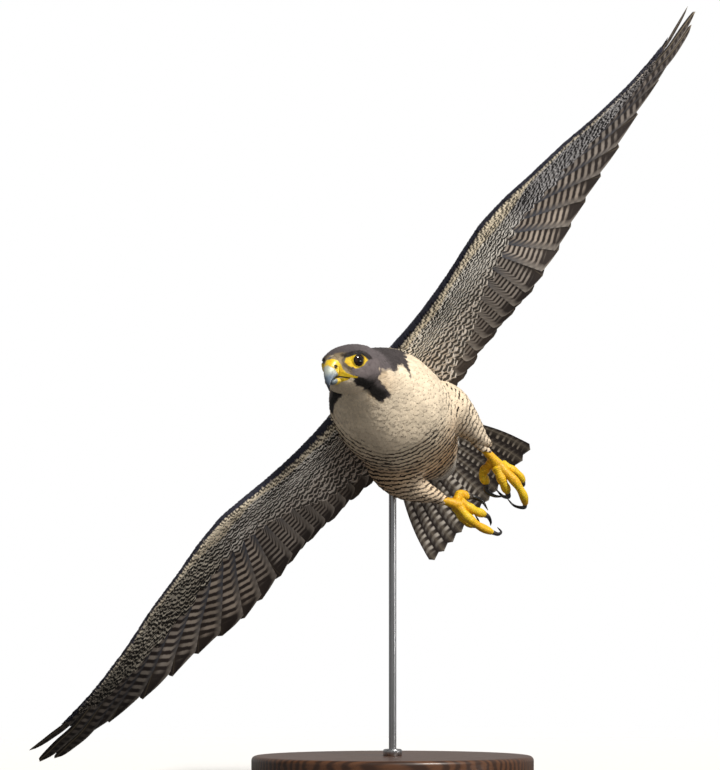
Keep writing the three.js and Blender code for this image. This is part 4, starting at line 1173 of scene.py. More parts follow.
def claw(side, name):
    toe, _, tip = FEET[side][name]
    end = np.array(toe[-1], float)
    first = mix(end, np.array(tip[0], float), 0.25)
    path = WF(np.vstack([first, tip]))

    def radius(s):
        return CLAW_R[name] * (1 - s) ** 0.75 + 0.28
    verts, faces = tube(path, radius, 24, 40, W([0, 0, 1]) - W([0, 0, 0]), None, 0.4)
    p, length = catmull(path, 60)
    s = np.argmin(np.linalg.norm(verts[:, None] - p[None], axis=-1), 1) / 59
    tint = mix(lin(62, 56, 52), lin(20, 19, 22), smooth(0.02, 0.3, s)[:, None])
    word = "left" if side > 0 else "right"
    o = make(f"talon_{word}_{name}", verts, faces, MAT_CLAW, {"tint": rgba(tint)})
    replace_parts(o, f"claw_{word}_{name}")
    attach(o, "root")


o = bill_upper()
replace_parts(o, "bill_upper"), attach(o, "root"), o
o = bill_lower()
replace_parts(o, "bill_lower"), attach(o, "root"), o
for side, word in ((1, "left"), (-1, "right")):
    o = eye(side)
    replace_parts(o, "eye_" + word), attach(o, "root"), o
    for name in CLAW_R:
        claw(side, name)


# ------------------------------------------------------------------ stand
def turned(name, rows, n, material, node):
    """Solid of revolution about the rod, from (radius, height) rows."""
    q = 2 * math.pi * np.arange(n) / n
    rings = [np.stack([r * np.cos(q), 42 + r * np.sin(q), np.full(n, z)], -1) for r, z in rows]
    verts, faces = loft(rings, [0, 42, rows[0][1]], [0, 42, rows[-1][1]])
    o = make(name, verts, faces, material)
    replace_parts(o, node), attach(o, "root"), o
    return o


def rounded(corner, r, steps=6):
    """Quarter round at an outer top corner (radius, height)."""
    a = np.linspace(0, math.pi / 2, steps)
    return [(corner[0] - r + r * math.cos(t), corner[1] - r + r * math.sin(t)) for t in a]


base_rows = [(147.6, 0.0), (149.2, 0.5), (150, 2.0), (150, 12)] + rounded((150, 30), 5, 8) + [(130, 30), (60, 30), (6, 30)]
turned("stand_base_wood", [(60, 0), (120, 0)] + base_rows, 160, MAT_WOOD, "stand_base")
turned("stand_rod_steel", [(4, 12.4)] + [(4, z) for z in np.linspace(30, 348, 24)] + rounded((4, 352), 1.5, 4), 40, MAT_STEEL,
       "stand_rod")
turned("stand_collar_steel", [(9.6, 30.1), (10, 30.5), (10, 34.5)] + rounded((10, 37.3), 2, 6) + [(5, 37.3)], 56, MAT_STEEL,
       "stand_collar")


# ------------------------------------------------------------------ feathers
def lens(mid, normal, half):
    """Closed thin vanes. mid and normal are (feathers, rows, columns, 3), half the half thickness.
    Gives verts, faces, a picker that spreads per-point values over them, edge flags and under-side flags."""
    f, m, n = mid.shape[:3]
    ring = 2 * n - 2
    cols = list(range(n)) + list(range(n - 2, 0, -1))
    sign = np.array([0.0] + [1.0] * (n - 2) + [0.0] + [-1.0] * (n - 2))
    verts = mid[:, :, cols] + normal[:, :, cols] * (half[:, :, cols] * sign)[..., None]
    base = (np.arange(f) * m * ring)[:, None, None]
    i = (np.arange(m - 1) * ring)[None, :, None]
    j = np.arange(ring)[None, None, :]
    a, b = base + i + j, base + i + (j + 1) % ring
    quads = np.stack([a, b, b + ring, a + ring], -1).reshape(-1, 4)
    starts = (np.arange(f) * m * ring)[:, None] + np.arange(ring)[None, ::-1]
    ends = (np.arange(f) * m * ring)[:, None] + (m - 1) * ring + np.arange(ring)[None, :]
    c = m // 2
    k = n // 2
    across = mid[:, c, k] - mid[:, c, k - 1]
    along = mid[:, c, k] - mid[:, c - 1, k]
    if (np.einsum("ij,ij->i", np.cross(across, along), normal[:, c, k])).mean() < 0:
        quads, starts, ends = quads[:, ::-1], starts[:, ::-1], ends[:, ::-1]

    def pick(v):
        v = np.asarray(v, float)
        v = np.broadcast_to(v, (f, m, n) + v.shape[3:])[:, :, cols]
        return v.reshape((f * m * ring,) + v.shape[3:])
    edge = np.zeros(ring, bool)
    edge[[0, n - 1]] = True
    under = np.zeros(ring, bool)
    under[n:] = True
    return (verts.reshape(-1, 3), [quads, starts, ends], pick, np.tile(edge, f * m), np.tile(under, f * m))


def project(points, limit, back=None):
    """Nearest skin to each point, moved at most limit, with the skin's normal there."""
    flat = points.reshape(-1, 3)
    hits = [bvh.find_nearest(p) for p in flat.tolist()]
    loc = np.array([h[0][:] for h in hits])
    nrm = np.array([h[1][:] for h in hits])
    move = loc - flat
    d = np.linalg.norm(move, axis=1, keepdims=True)
    k = np.minimum(1, np.asarray(limit, float).reshape(-1, 1) / np.maximum(d, 1e-9))
    out = flat + move * k
    if back is not None:
        nrm = unit(mix(back.reshape(-1, 3), nrm, np.clip(1.6 * k - 0.6, 0, 1)))
    return out.reshape(points.shape), nrm.reshape(points.shape)


def scatter(points, radius):
    """Keeps points that are at least their radius from every kept one."""
    cell = float(radius.max())
    grid, kept = {}, []
    keys = np.floor(points / cell).astype(int).tolist()
    pts, rad = points.tolist(), (radius ** 2).tolist()
    around = [(i, j, k) for i in (-1, 0, 1) for j in (-1, 0, 1) for k in (-1, 0, 1)]
    for n, (x, y, z) in enumerate(keys):
        px, py, pz = pts[n]
        r2 = rad[n]
        ok = True
        for i, j, k in around:
            for m in grid.get((x + i, y + j, z + k), ()):
                qx, qy, qz = pts[m]
                if (px - qx) ** 2 + (py - qy) ** 2 + (pz - qz) ** 2 < r2:
                    ok = False
                    break
            if not ok:
                break
        if ok:
            grid.setdefault((x, y, z), []).append(n)
            kept.append(n)
    return np.array(kept, int)


def trunk_value(b, grow):
    x = np.clip(b[..., 0], TRUNK[0][0], TRUNK[-1][0])
    a, top, bot = trunk_half(x) + grow, trunk_top(x) + grow, trunk_bottom(x) - grow
    m = mix(top, bot, 0.47)
    u = b[..., 2] - m
    return (np.abs(b[..., 1]) / np.maximum(a, 2)) ** 2.25 + (np.abs(u) / np.maximum(np.where(u > 0, top - m, m - bot), 2)) ** 2.25


def lie(x):
    """Direction in which the feathers at x lie."""
    b = body(x)
    h = head(x)
    trunk = np.broadcast_to(body_dir([-1.0, 0, 0]), x.shape)
    trunk = trunk + body_dir([0, 0, -0.10]) * smooth(0, 40, np.abs(b[..., 1]))[..., None]
    off = h - np.array([27.0, 0, -2.0])
    away = unit(off) @ MH.T
    skull = np.stack([away[..., 0], -away[..., 2], away[..., 1]], -1)
    k = smooth(-52, -12, h[..., 0]) * smooth(16, 40, b[..., 0])
    d = mix(unit(trunk), skull, k[..., None])
    for side in (1, -1):
        near, s, t = thigh_place(x, side)
        w = smooth(1.5, 1.15, near) * smooth(0.25, 0.55, s)
        d = mix(d, t, w[:, None])
    return unit(d)


def sizes_at(x):
    """Length, width, spacing and lift of the feather rooted at x."""
    b, h = body(x), head(x)
    n = len(x)
    size = np.tile(np.array([20.0, 9.0, 4.3, 1.3]), (n, 1))
    back = smooth(-6, 6, b[:, 2])
    size = mix(size, np.array([27.0, 14.5, 6.6, 2.7]), back[:, None])
    rear = smooth(-175, -210, b[:, 0])
    size = mix(size, np.array([38.0, 15.0, 6.5, 2.2]), rear[:, None])
    throat = smooth(-14, 22, b[:, 0])
    size = mix(size, np.array([14.5, 6.4, 3.2, 0.85]), throat[:, None])
    k = smooth(-52, -16, h[:, 0]) * smooth(10, 38, b[:, 0])
    size = mix(size, np.array([8.2, 3.7, 1.95, 0.95]), k[:, None])
    face = smooth(-16, 18, h[:, 0]) * (k > 0.9)
    size = mix(size, np.array([3.5, 2.1, 1.2, 0.55]), face[:, None])
    for side in (1, -1):
        near, s, t = thigh_place(x, side)
        w = smooth(1.5, 1.2, near) * smooth(0.2, 0.5, s)
        size = mix(size, np.stack([mix(15, 9.5, s), mix(6.6, 4.4, s), mix(3.6, 2.3, s), mix(2.0, 1.3, s)], -1), w[:, None])
    return size


ROWS = np.array([0.0, 0.22, 0.45, 0.68, 0.88, 1.0])
OUTLINE = np.array([0.35, 0.78, 1.0, 0.96, 0.66, 0.16])


def small_feathers(name, roots, normals, material, slot_name, unwrap, rows=ROWS, outline=OUTLINE, scale=1.0):
    """One mesh of overlapping contour feathers rooted on the skin."""
    size = sizes_at(roots) * np.array([scale, scale, 1, 1])
    f, m = len(roots), len(rows)
    jitter = rng.normal(size=(f, 4))
    size[:, 0] *= 1 + 0.07 * jitter[:, 0]
    size[:, 1] *= 1 + 0.05 * jitter[:, 1]
    mid, nor, fwd = np.zeros((f, m, 3)), np.zeros((f, m, 3)), np.zeros((f, m, 3))
    p, nrm = roots.copy(), normals.copy()
    d = lie(p)
    d = unit(d + np.cross(nrm, d) * (0.10 * jitter[:, 2:3]))
    for i in range(m):
        if i:
            step = (rows[i] - rows[i - 1]) * size[:, 0]
            target = p + d * step[:, None]
            p, nrm = project(target, 0.22 * step, nrm)
            d = unit(mix(d, lie(p), 0.35))
        d = unit(d - nrm * np.einsum("ij,ij->i", d, nrm)[:, None])
        mid[:, i], nor[:, i], fwd[:, i] = p, nrm, d
    side = unit(np.cross(fwd, nor))
    half = size[:, 1, None] / 2 * outline
    lift = -0.5 + (size[:, 3, None] + 0.35 * jitter[:, 3:4] * 0.4 + 0.5) * rows ** 0.8
    left = mid - side * half[..., None]
    right = mid + side * half[..., None]
    left, ln = project(left, 0.35 * size[:, 1].mean() * 0.5, nor)
    right, rn = project(right, 0.35 * size[:, 1].mean() * 0.5, nor)
    grid = np.stack([left + ln * (lift * 0.86 - 0.05)[..., None], mid + nor * lift[..., None],
                     right + rn * (lift * 0.86 - 0.05)[..., None]], 2)
    normal = np.stack([ln, nor, rn], 2)
    thick_at = np.broadcast_to((0.10 + 0.10 * (1 - rows))[None, :, None], (f, m, 3)) * np.clip(size[:, 1] / 8, 0.4, 1)[:, None, None]
    verts, faces, pick, edge, under = lens(grid, normal, thick_at)
    at = mix(np.broadcast_to(roots[:, None, None], grid.shape), grid, 0.62)
    tint, ink, pattern, spot = paint(pick(at))
    own = paint(pick(grid))[2]
    pattern[:, 0] = own[:, 0] + pick((0.10 * jitter[:, 0])[:, None, None])
    rnd = rng.uniform(size=f)
    across = np.broadcast_to(np.array([-1.0, 0.0, 1.0]), (f, m, 3))
    along = np.broadcast_to(rows[None, :, None], (f, m, 3))
    vane = pick(np.stack([along, across, np.broadcast_to(rnd[:, None, None], (f, m, 3))], -1))
    uv0 = unwrap(roots)
    uv = pick(uv0[:, None, None] + 0.003 * np.stack([(across + 1) / 2, along], -1))
    o = make(name, verts, faces, material, {"tint": rgba(tint), "ink": rgba(ink, spot), "pattern": pattern, "feather": vane}, uv, edge)
    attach(o, "root")
    return o


# roots: random points on the skin, thinned to the spacing of each place
corner = skin_v[skin_t]
area = np.linalg.norm(np.cross(corner[:, 1] - corner[:, 0], corner[:, 2] - corner[:, 0]), axis=1) / 2
middle = corner.mean(1)
mb, mh, mw = body(middle), head(middle), un_w(middle)
on_trunk = (trunk_value(mb, -COAT) < 1.16) & (trunk_value(mb, -COAT) > 0.72)
shape_x = np.clip(mh[:, 0], SKULL[0][0], SKULL[-1][0])
sa, st, sb_ = skull_half(shape_x), skull_top(shape_x), skull_bottom(shape_x)
skull_value = (np.abs(mh[:, 1]) / sa) ** 2.35 + (np.abs(mh[:, 2] - (st + sb_) / 2) / ((st - sb_) / 2)) ** 2.35
on_head = (skull_value < 1.3) & (mh[:, 0] > -34) & (mh[:, 0] < 31)
near_l, s_l, _ = thigh_place(middle, 1)
near_r, s_r, _ = thigh_place(middle, -1)
on_thigh = ((near_l < 1.12) & (s_l < 0.97)) | ((near_r < 1.12) & (s_r < 0.97))
on_thigh &= mw[:, 1] < 152
open_area = on_trunk | on_head | on_thigh
ring = inside(mh[:, 0], mh[:, 2], RING_SHAPE)
alpha = np.degrees(eye_angle(mh)[0])
bare = on_head & (np.abs(mh[:, 1]) > 6) & ((ring > -0.9) | (alpha < 50))
bare |= on_head & (mh[:, 0] > 25.6 + 4.0 * smooth(4, 8, mh[:, 2]))
bare |= on_head & (np.abs(mh[:, 1]) > 6) & (mh[:, 0] > 18) & (inside(mh[:, 0] - 2.4, mh[:, 2] - 0.6, RING_SHAPE) > -0.3)
bare |= ~on_head & (mb[:, 0] < TRUNK[0][0] + 15)
bare |= on_head & (np.maximum(inside(mh[:, 0], mh[:, 2], CERE_SHAPE), inside(mh[:, 0], mh[:, 2], JAW_SHAPE)) > -0.7) & (mh[:, 0] > 15)
open_area &= ~bare
size_mid = sizes_at(middle)
weight = np.where(open_area, area / size_mid[:, 2] ** 2, 0)
count = int(weight.sum() * 7)
pick_t = rng.choice(len(weight), size=count, p=weight / weight.sum())
r1, r2 = np.sqrt(rng.uniform(size=count)), rng.uniform(size=count)
tri = corner[pick_t]
points = (1 - r1)[:, None] * tri[:, 0] + (r1 * (1 - r2))[:, None] * tri[:, 1] + (r1 * r2)[:, None] * tri[:, 2]
spacing = size_mid[pick_t, 2] * 0.92
normals_at = unit(np.cross(tri[:, 1] - tri[:, 0], tri[:, 2] - tri[:, 0]))
group = np.where(spacing < 2.6, 0, 1)
kept = []
for g in (0, 1):
    ids = np.flatnonzero(group == g)
    kept.append(ids[scatter(points[ids], spacing[ids])])
kept = np.concatenate(kept)
roots, root_n, root_t = points[kept], normals_at[kept], pick_t[kept]
rb, rh = body(roots), head(roots)


def round_body(x):
    b = body(x)
    return np.stack([0.02 + 0.95 * (np.arctan2(b[:, 1], b[:, 2] + 30) + math.pi) / (2 * math.pi), 0.02 + 0.95 * (b[:, 0] + 262) / 330], -1)


def round_head(x):
    h = head(x)
    return np.stack([0.02 + 0.95 * (np.arctan2(h[:, 1], h[:, 2] + 2) + math.pi) / (2 * math.pi), 0.02 + 0.95 * np.clip((h[:, 0] + 60) / 95, 0, 1)], -1)


thigh_l = on_thigh[root_t] & (near_l[root_t] < 1.12) & (s_l[root_t] > 0.16) & ~on_head[root_t]
thigh_r = on_thigh[root_t] & (near_r[root_t] < 1.12) & (s_r[root_t] > 0.16) & ~on_head[root_t]
is_head = (rh[:, 0] > -40) & (rb[:, 0] > 8) & ~thigh_l & ~thigh_r
is_back = (rb[:, 2] > 0) & ~is_head & ~thigh_l & ~thigh_r
is_front = (rb[:, 0] > -75) & ~is_head & ~is_back & ~thigh_l & ~thigh_r
is_rear = ~is_front & ~is_head & ~is_back & ~thigh_l & ~thigh_r
front_head = is_head & (rh[:, 0] > 4)
for name, keep, mat, slot_name, unwrap, scale in (
        ("coat_face", front_head, MAT_HEAD, "head_feathers", round_head, 1.0),
        ("coat_nape", is_head & ~front_head, MAT_HEAD, "head_feathers", round_head, 1.0),
        ("coat_back", is_back, MAT_BODY, "breast_feathers", round_body, 1.0),
        ("coat_breast", is_front, MAT_BODY, "breast_feathers", round_body, 1.0),
        ("coat_belly", is_rear, MAT_BODY, "breast_feathers", round_body, 1.0),
        ("coat_thigh_left", thigh_l, MAT_BODY, "breast_feathers", round_body, 1.0),
        ("coat_thigh_right", thigh_r, MAT_BODY, "breast_feathers", round_body, 1.0)):
    o = small_feathers(name, roots[keep], root_n[keep], mat, slot_name, unwrap, scale=scale)


# ------------------------------------------------------------------ wings
SECONDARY_TIPS = [(40, -1.0), (57, 0.4), (74, 1.6), (93, 2.6), (112, 0.6), (128, 3.8), (143, 1.0), (159, 3.0), (174, 1.2), (191, 3.2),
                  (211, 2.6)]
PRIMARY_TIPS = [(243, 3.0), (270, 2.6), (300, 3.2), (331, 3.0), (367, 3.6), (406, 3.4), (448, 4.0)]
FINGERS = [(486, 3.2), (516, None), (529, None), (526, None)]
FINGER_BACK = {516: 45, 529: 33, 526: 0.6}
flow = curve([(26, 1), (120, 5), (200, 11), (235, 21), (270, 33), (310, 45), (350, 53), (400, 59), (450, 62), (527, 58)])
cover = curve([(26, 0.93), (90, 0.88), (117, 0.80), (150, 0.65), (175, 0.55), (195, 0.50), (240, 0.46), (264, 0.46), (305, 0.48),
               (340, 0.48), (400, 0.46), (480, 0.36), (527, 0.28)])



def flight_feathers():
    """Root and tip in the wing's flat plan, bulge, webs, how pointed, and how far the tip passes the rear edge."""
    out = []
    last = len(SECONDARY_TIPS) - 1
    for i, (l, e) in enumerate(SECONDARY_TIPS):
        k = i / last
        out.append(dict(root=(mix(58, 201, k ** 0.95), mix(44, 17, k)), tip=(l, float(chord(l)) + e), bulge=-2.0 + 1.5 * k,
                        outer=mix(10, 9, k), inner=mix(22, 25, k), point=0.0, e=e, slope=0.27))
    for i, (l, e) in enumerate(PRIMARY_TIPS):
        k = i / 10
        out.append(dict(root=(mix(208, 288, k), mix(16, 6, k)), tip=(l, float(chord(l)) + e), bulge=[0, 1, 2, 3, 4, 5, 6][i],
                        outer=mix(9, 7, k), inner=[27, 28, 29, 29, 28, 26, 23][i], point=0.05 + 0.05 * i, e=e, slope=0.21))
    for i, (l, e) in enumerate(FINGERS):
        k = (7 + i) / 10
        c = FINGER_BACK.get(l, float(chord(l)) + (e or 0))
        out.append(dict(root=(mix(208, 288, min(k, 1)), mix(16, 6, k)), tip=(l, c), bulge=[9, 16, 23, 19][i], outer=[6.0, 5.2, 4.6, 3.4][i],
                        inner=[20, 16, 14.5, 13][i], point=[0.6, 0.8, 0.9, 1.0][i], e=3.2 if e else 60, slope=0.10 if e else 0.0))
    return out


REMIGES = flight_feathers()
N_SEC = len(SECONDARY_TIPS)


def plan(l, c):
    return np.stack(np.broadcast_arrays(np.asarray(l, float), c + lead_y(l)), -1)


def web_reach(axis, inward, widest, l_tip, e, slope):
    """How far the inner web can reach from each point of the shaft before it meets the rear edge of the wing."""
    o = np.linspace(0, 1, 41) * widest
    xy = axis[:, None] + inward[:, None] * o[None, :, None]
    l = xy[..., 0]
    over = xy[..., 1] - lead_y(l) - (chord(np.clip(l, 26, 527)) + e - slope * np.clip(l_tip - l, 0, 99))
    last = np.cumprod(over <= 0, axis=1).sum(1) - 1
    rows = np.arange(len(axis))
    a = np.clip(last, 0, 39)
    f = np.clip(-over[rows, a] / np.maximum(over[rows, a + 1] - over[rows, a], 1e-6), 0, 1)
    return np.where(last >= 40, widest, np.where(last < 0, 0.0, o[a] + f * (o[1] - o[0])))


def remiges(side):
    m = 52
    u = np.linspace(0, 1, m) ** 0.9
    word = "left" if side > 0 else "right"
    shade = 1.0
    mids, norms, halves, extra = [], [], [], []
    n_f = len(REMIGES)
    for i, f in enumerate(REMIGES):
        a, b = plan(*f["root"]), plan(*f["tip"])
        along = unit(b - a)
        fore = np.array([along[1], -along[0]])
        if fore[1] > 0 and abs(fore[1]) > abs(fore[0]):
            fore = -fore
        ctrl = (a + b) / 2 + fore * 2 * f["bulge"]
        axis = ((1 - u) ** 2)[:, None] * a + (2 * u * (1 - u))[:, None] * ctrl + (u ** 2)[:, None] * b
        t = unit(np.gradient(axis, axis=0))
        inward = np.stack([-t[:, 1], t[:, 0]], -1)
        length = np.linalg.norm(np.diff(axis, axis=0), axis=1).sum()
        wo = f["outer"] * mix(0.75, 1.0, smooth(0, 0.3, u))
        wi = f["inner"] * mix(0.6, 1.0, smooth(0, 0.35, u)) * mix(1, mix(1, 0.62, f["point"]), smooth(0.5, 0.95, u))
        span = mix(9, 46, f["point"]) / length
        z = np.clip((u - (1 - span)) / span, 0, 1)
        close = np.sqrt(np.clip(1 - z ** mix(2.2, 1.7, f["point"]), 0, 1)) * 0.97 + 0.03
        wo, wi = wo * close, wi * close
        wi = np.maximum(np.minimum(wi, web_reach(axis, inward, f["inner"], f["tip"][0], f["e"], f["slope"])), 0.3)
        # the outer web stays behind the wing's front edge
        c_axis = axis[:, 1] - lead_y(axis[:, 0])
        short = np.maximum(wo + 0.2 - c_axis, 0)
        axis[:, 1] += short
        off = np.stack([-wo, -wo * 0.5, -np.minimum(0.75, wo * 0.3), 0 * wo, np.minimum(0.75, wi * 0.3), wi * 0.35, wi * 0.7, wi], -1)
        v = np.stack([-1 + 0 * u, -0.5 + 0 * u, off[:, 2] / np.maximum(wo, 0.1), 0 * u, off[:, 4] / np.maximum(wi, 0.1), 0.35 + 0 * u,
                      0.7 + 0 * u, 1 + 0 * u], -1)
        xy = axis[:, None] + inward[:, None] * off[..., None]
        l = np.clip(xy[..., 0], 20, 545)
        c = xy[..., 1] - lead_y(l)
        # the webs lie like tiles: each inner web under the shaft of the next feather in
        wide = off / mix(22.0, 14.0, f["point"])
        h = -0.95 * wide + 0.25 * wide * wide - 0.25 * smooth(0.35, 0.0, u)[:, None]
        p = wing_point(side, l, c, h)
        up = unit(wing_point(side, l, c, h + 1) - p)
        half = np.stack([0 * u, 0.13 + 0 * u, 0.16 + 0 * u, mix(0.55, 0.20, u), 0.16 + 0 * u, 0.13 + 0 * u, 0.12 + 0 * u, 0 * u], -1)
        mids.append(p), norms.append(up), halves.append(half)
        rnd = rng.uniform()
        dt = (1 - u)[:, None] * length + 0 * v
        # distance from the feather's own rear edge, so that the plain zone follows the outline of the wing
        rear = chord(np.clip(l, 26, 527)) + 2.0 - c if f["e"] < 50 else dt
        extra.append(np.stack([np.broadcast_to(u[:, None], v.shape), v, np.full(v.shape, rnd), dt, np.full(v.shape, i),
                               np.abs(off), l, c, rear, np.full(v.shape, f["tip"][0])], -1))
    mid, nor, half, info = map(np.array, (mids, norms, halves, extra))
    verts, faces, pick, edge, under = lens(mid, nor, half)
    info = pick(info)
    u_, v_, rnd, dt, fi, dist, l, c, rear, l_tip = info.T
    prim = fi >= N_SEC
    outerness = smooth(N_SEC + 2, n_f - 1, fi)
    # underside: soft pale bars on the inner webs, a plain dark zone along the rear edge
    odd = np.sin(fi * 2.399 + 1.0)
    dark = mix(mix(lin(62, 55, 52), lin(80, 71, 65), smooth(150, 60, l)[:, None]), lin(56, 50, 49), outerness[:, None])
    dark = dark * (1 + 0.10 * odd)[:, None]
    pale = mix(lin(214, 202, 190), lin(190, 178, 166), smooth(160, 80, l)[:, None])
    pale = mix(pale, lin(222, 206, 190), (smooth(225, 265, l_tip) * smooth(400, 330, l_tip))[:, None])
    pale = mix(pale, lin(158, 147, 138), smooth(430, 490, l_tip)[:, None])
    plain = mix(7, 11, smooth(120, 230, l_tip)) * mix(1, 0.6, smooth(380, 500, l_tip)) + 2.5 * odd
    shown = smooth(plain, plain + 10, np.minimum(rear, dt)) * smooth(1.03, 0.90, v_) * smooth(0.04, 0.20, v_)
    round_ = np.sqrt(np.clip(1 - ((v_ - 0.54) / 0.52) ** 2, 0, 1))
    fade = np.where(prim, mix(1.0, 0.25, outerness * smooth(100, 30, dt)), mix(0.62, 0.9, smooth(100, 190, l)))
    fade = fade * mix(0.75, 1.0, smooth(-1, 1, np.sin(fi * 1.3 + dt * 0.09)))
    period = mix(5.6, 10.2, smooth(120, 330, l_tip))
    phase_u = dt / period + 0.22 * v_ + 0.31 * np.sin(fi * 2.1)
    # upper side: slate with darker bars
    slate = mix(lin(116, 121, 132), lin(84, 85, 92), outerness[:, None])
    slate = mix(slate, lin(76, 76, 82), (smooth(0.2, 0.9, v_) * 0.4)[:, None])
    tint = np.where(under[:, None], dark * shade, slate)
    ink = np.where(under[:, None], pale * shade, lin(54, 55, 62))
    phase = np.where(under, phase_u, dt / 10.6 + 0.1 * v_)
    duty = np.where(under, 0.24 + 0.25 * round_, 0.45)
    strength = np.where(under, np.clip(shown * fade, 0, 1) * 0.85, 0.55 * smooth(8, 18, dt))
    # pale shafts below on the outer feathers, and thin pale edges
    shaft = smooth(0.9, 0.2, dist) * under
    tint = mix(tint, lin(176, 160, 132) * shade, (0.8 * shaft * mix(0.25, 1, outerness))[:, None])
    rim = smooth(1.8, 0.5, dt) * 0.6 + np.where(edge, 0.55, 0.75 * smooth(0.90, 1.0, v_)) * smooth(90, 30, dt) * smooth(0.5, 0.9, v_)
    tint = np.where((edge & (v_ < 0))[:, None], dark, tint)
    tint = mix(tint, lin(204, 190, 172) * shade, np.clip(rim, 0, 1)[:, None])
    # uv: a strip of its own for each side of each feather
    strip = (fi + 0.04 + 0.44 * (v_ + 1) / 2 + 0.5 * under) / n_f
    uv = np.stack([0.01 + 0.98 * u_, strip], -1)
    o = make(f"wing_{word}_flight_feathers", verts, faces, MAT_FLIGHT,
             {"tint": rgba(tint), "ink": rgba(ink, 0.0), "pattern": np.stack([phase, duty, strength], -1),
              "feather": np.stack([u_, v_, rnd], -1)}, uv, edge)
    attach(o, "root"), o
    return o


# arc length round the wing's section from its front edge, by station
ARC_L, ARC_S = np.arange(22, 540, 4.0), np.arange(0, 200, 0.5)
_t = np.linspace(0, 1, 400) ** 2 * 1.15
ARC_C = []
for _l in np.clip(ARC_L, 26, 527):
    _c = _t * chord(_l)
    _h = wing_half(np.full(len(_c), _l), np.minimum(_c, chord(_l)))
    _s = np.concatenate([[0], np.cumsum(np.hypot(np.diff(_c), np.diff(_h)))])
    ARC_C.append(np.interp(ARC_S, _s, _c))
ARC_C = np.array(ARC_C)


def c_at(l, s):
    """Distance back from the front edge at arc length s from it."""
    i = np.clip((l - 22) / 4.0, 0, len(ARC_L) - 1.001)
    j = np.clip(np.abs(s) / 0.5, 0, len(ARC_S) - 1.001)
    a, b = i.astype(int), j.astype(int)
    fi, fj = i - a, j - b
    return mix(mix(ARC_C[a, b], ARC_C[a + 1, b], fi), mix(ARC_C[a, b + 1], ARC_C[a + 1, b + 1], fi), fj)


def s_at(l, c):
    rows = np.clip(np.round((l - 22) / 4.0), 0, len(ARC_L) - 1).astype(int)
    return np.array([np.interp(cc, ARC_C[r], ARC_S) for r, cc in zip(rows, c)])


def wing_surface(side, surf, l, s):
    """Point on the lower (surf -1) or upper (+1) side; below zero s goes round the front edge to the other side."""
    c = c_at(l, s)
    sign = surf * np.where(s < 0, -1.0, 1.0)
    lc = np.clip(l, 26, 527)
    return wing_point(side, l, c, sign * wing_half(lc, np.minimum(c, chord(lc))))


navy_width = curve([(26, 1.6), (200, 1.4), (240, 1.0), (527, 0.8)])
cream_width = curve([(26, 8.0), (60, 8.5), (150, 8.5), (190, 13.0), (222, 21.0), (245, 13.0), (268, 5.0), (310, 3.0), (360, 2.4),
                     (420, 1.4), (460, 0.2), (527, 0.0)])


def under_paint(side, l, s, t, v, long, jit):
    """Colours of the underwing coverts: l, s where the feather shows, t and v on the feather, long its length."""
    n = l.shape
    c = c_at(l, s)
    f = c / chord(np.clip(l, 26, 527))
    w = wave(np.stack([l, s * 1.6], -1), 21 + side, 13)
    hand = smooth(205, 255, l)
    far = smooth(0.30, 0.55, f) * (1 - hand)
    tint = mix(lin(255, 250, 240), lin(206, 204, 206) if side > 0 else lin(214, 206, 188), (hand * 0.9)[..., None])
    tint = mix(tint, lin(240, 230, 218), far[..., None])
    tint = mix(tint, lin(120, 110, 104), (smooth(380, 460, l) * 0.8)[..., None])
    ink = mix(mix(lin(12, 8, 6), lin(18, 17, 20), hand[..., None]), lin(20, 15, 12), far[..., None])
    period = mix(mix(6.8, 8.4, smooth(0.25, 0.6, f)), 7.4, hand)
    phase = 0.25 + (1 - t) * long / period - 0.30 * np.abs(v) + 0.30 * jit
    duty = mix(0.54, 0.60, hand) + 0.10 * w
    duty = mix(duty, 0.56, far)
    strength = mix(np.full(n, 0.96), 0.90, far)
    # cream along the front, with dark flecks, widest at the wrist
    wide = cream_width(np.clip(l, 26, 527)) * (1 + 0.22 * w) * (1.0 if side > 0 else 0.85)
    cream = smooth(wide + 2.5, wide - 1.5, s)
    tint = mix(tint, lin(244, 230, 204), cream[..., None])
    wrist = smooth(185, 200, l) * smooth(262, 246, l)
    duty = mix(duty, mix(0.36, 0.40, wrist) + 0.12 * w, cream)
    strength = mix(strength, 0.85, cream)
    navy = smooth(0.5, -0.5, s - navy_width(np.clip(l, 26, 527)))
    tint = mix(tint, lin(54, 54, 66), navy[..., None])
    ink = mix(ink, lin(34, 34, 42), navy[..., None])
    # painted light: the right underwing's factor is a little lighter and bluer than the left's, standing in for the
    # cool shade that wing sits in
    shade = 1.04 if side > 0 else np.array([1.05, 1.05, 1.07])
    return tint * shade, ink, np.stack([phase, duty, np.clip(strength, 0, 1)], -1)


def upper_paint(side, l, s, t, v, long, jit):
    n = l.shape
    w = wave(np.stack([l, s * 2.2], -1), 41 + side, 22)
    hand = smooth(200, 300, l)
    tint = mix(lin(112, 120, 136), lin(88, 92, 106), hand[..., None])
    tint = mix(tint, lin(54, 54, 66), smooth(14, 4, s)[..., None])
    tint = tint * (1 + 0.10 * w)[..., None]
    tint = mix(tint, lin(156, 163, 176), (0.35 * smooth(0.90, 1.0, t))[..., None])
    ink = np.broadcast_to(lin(52, 54, 63), n + (3,))
    phase = t * long / mix(5.0, 8.0, smooth(12, 40, long)) + 0.20 * np.abs(v) + 0.5 * jit
    return tint, ink, np.stack([phase, np.full(n, 0.42), np.full(n, 0.7)], -1)


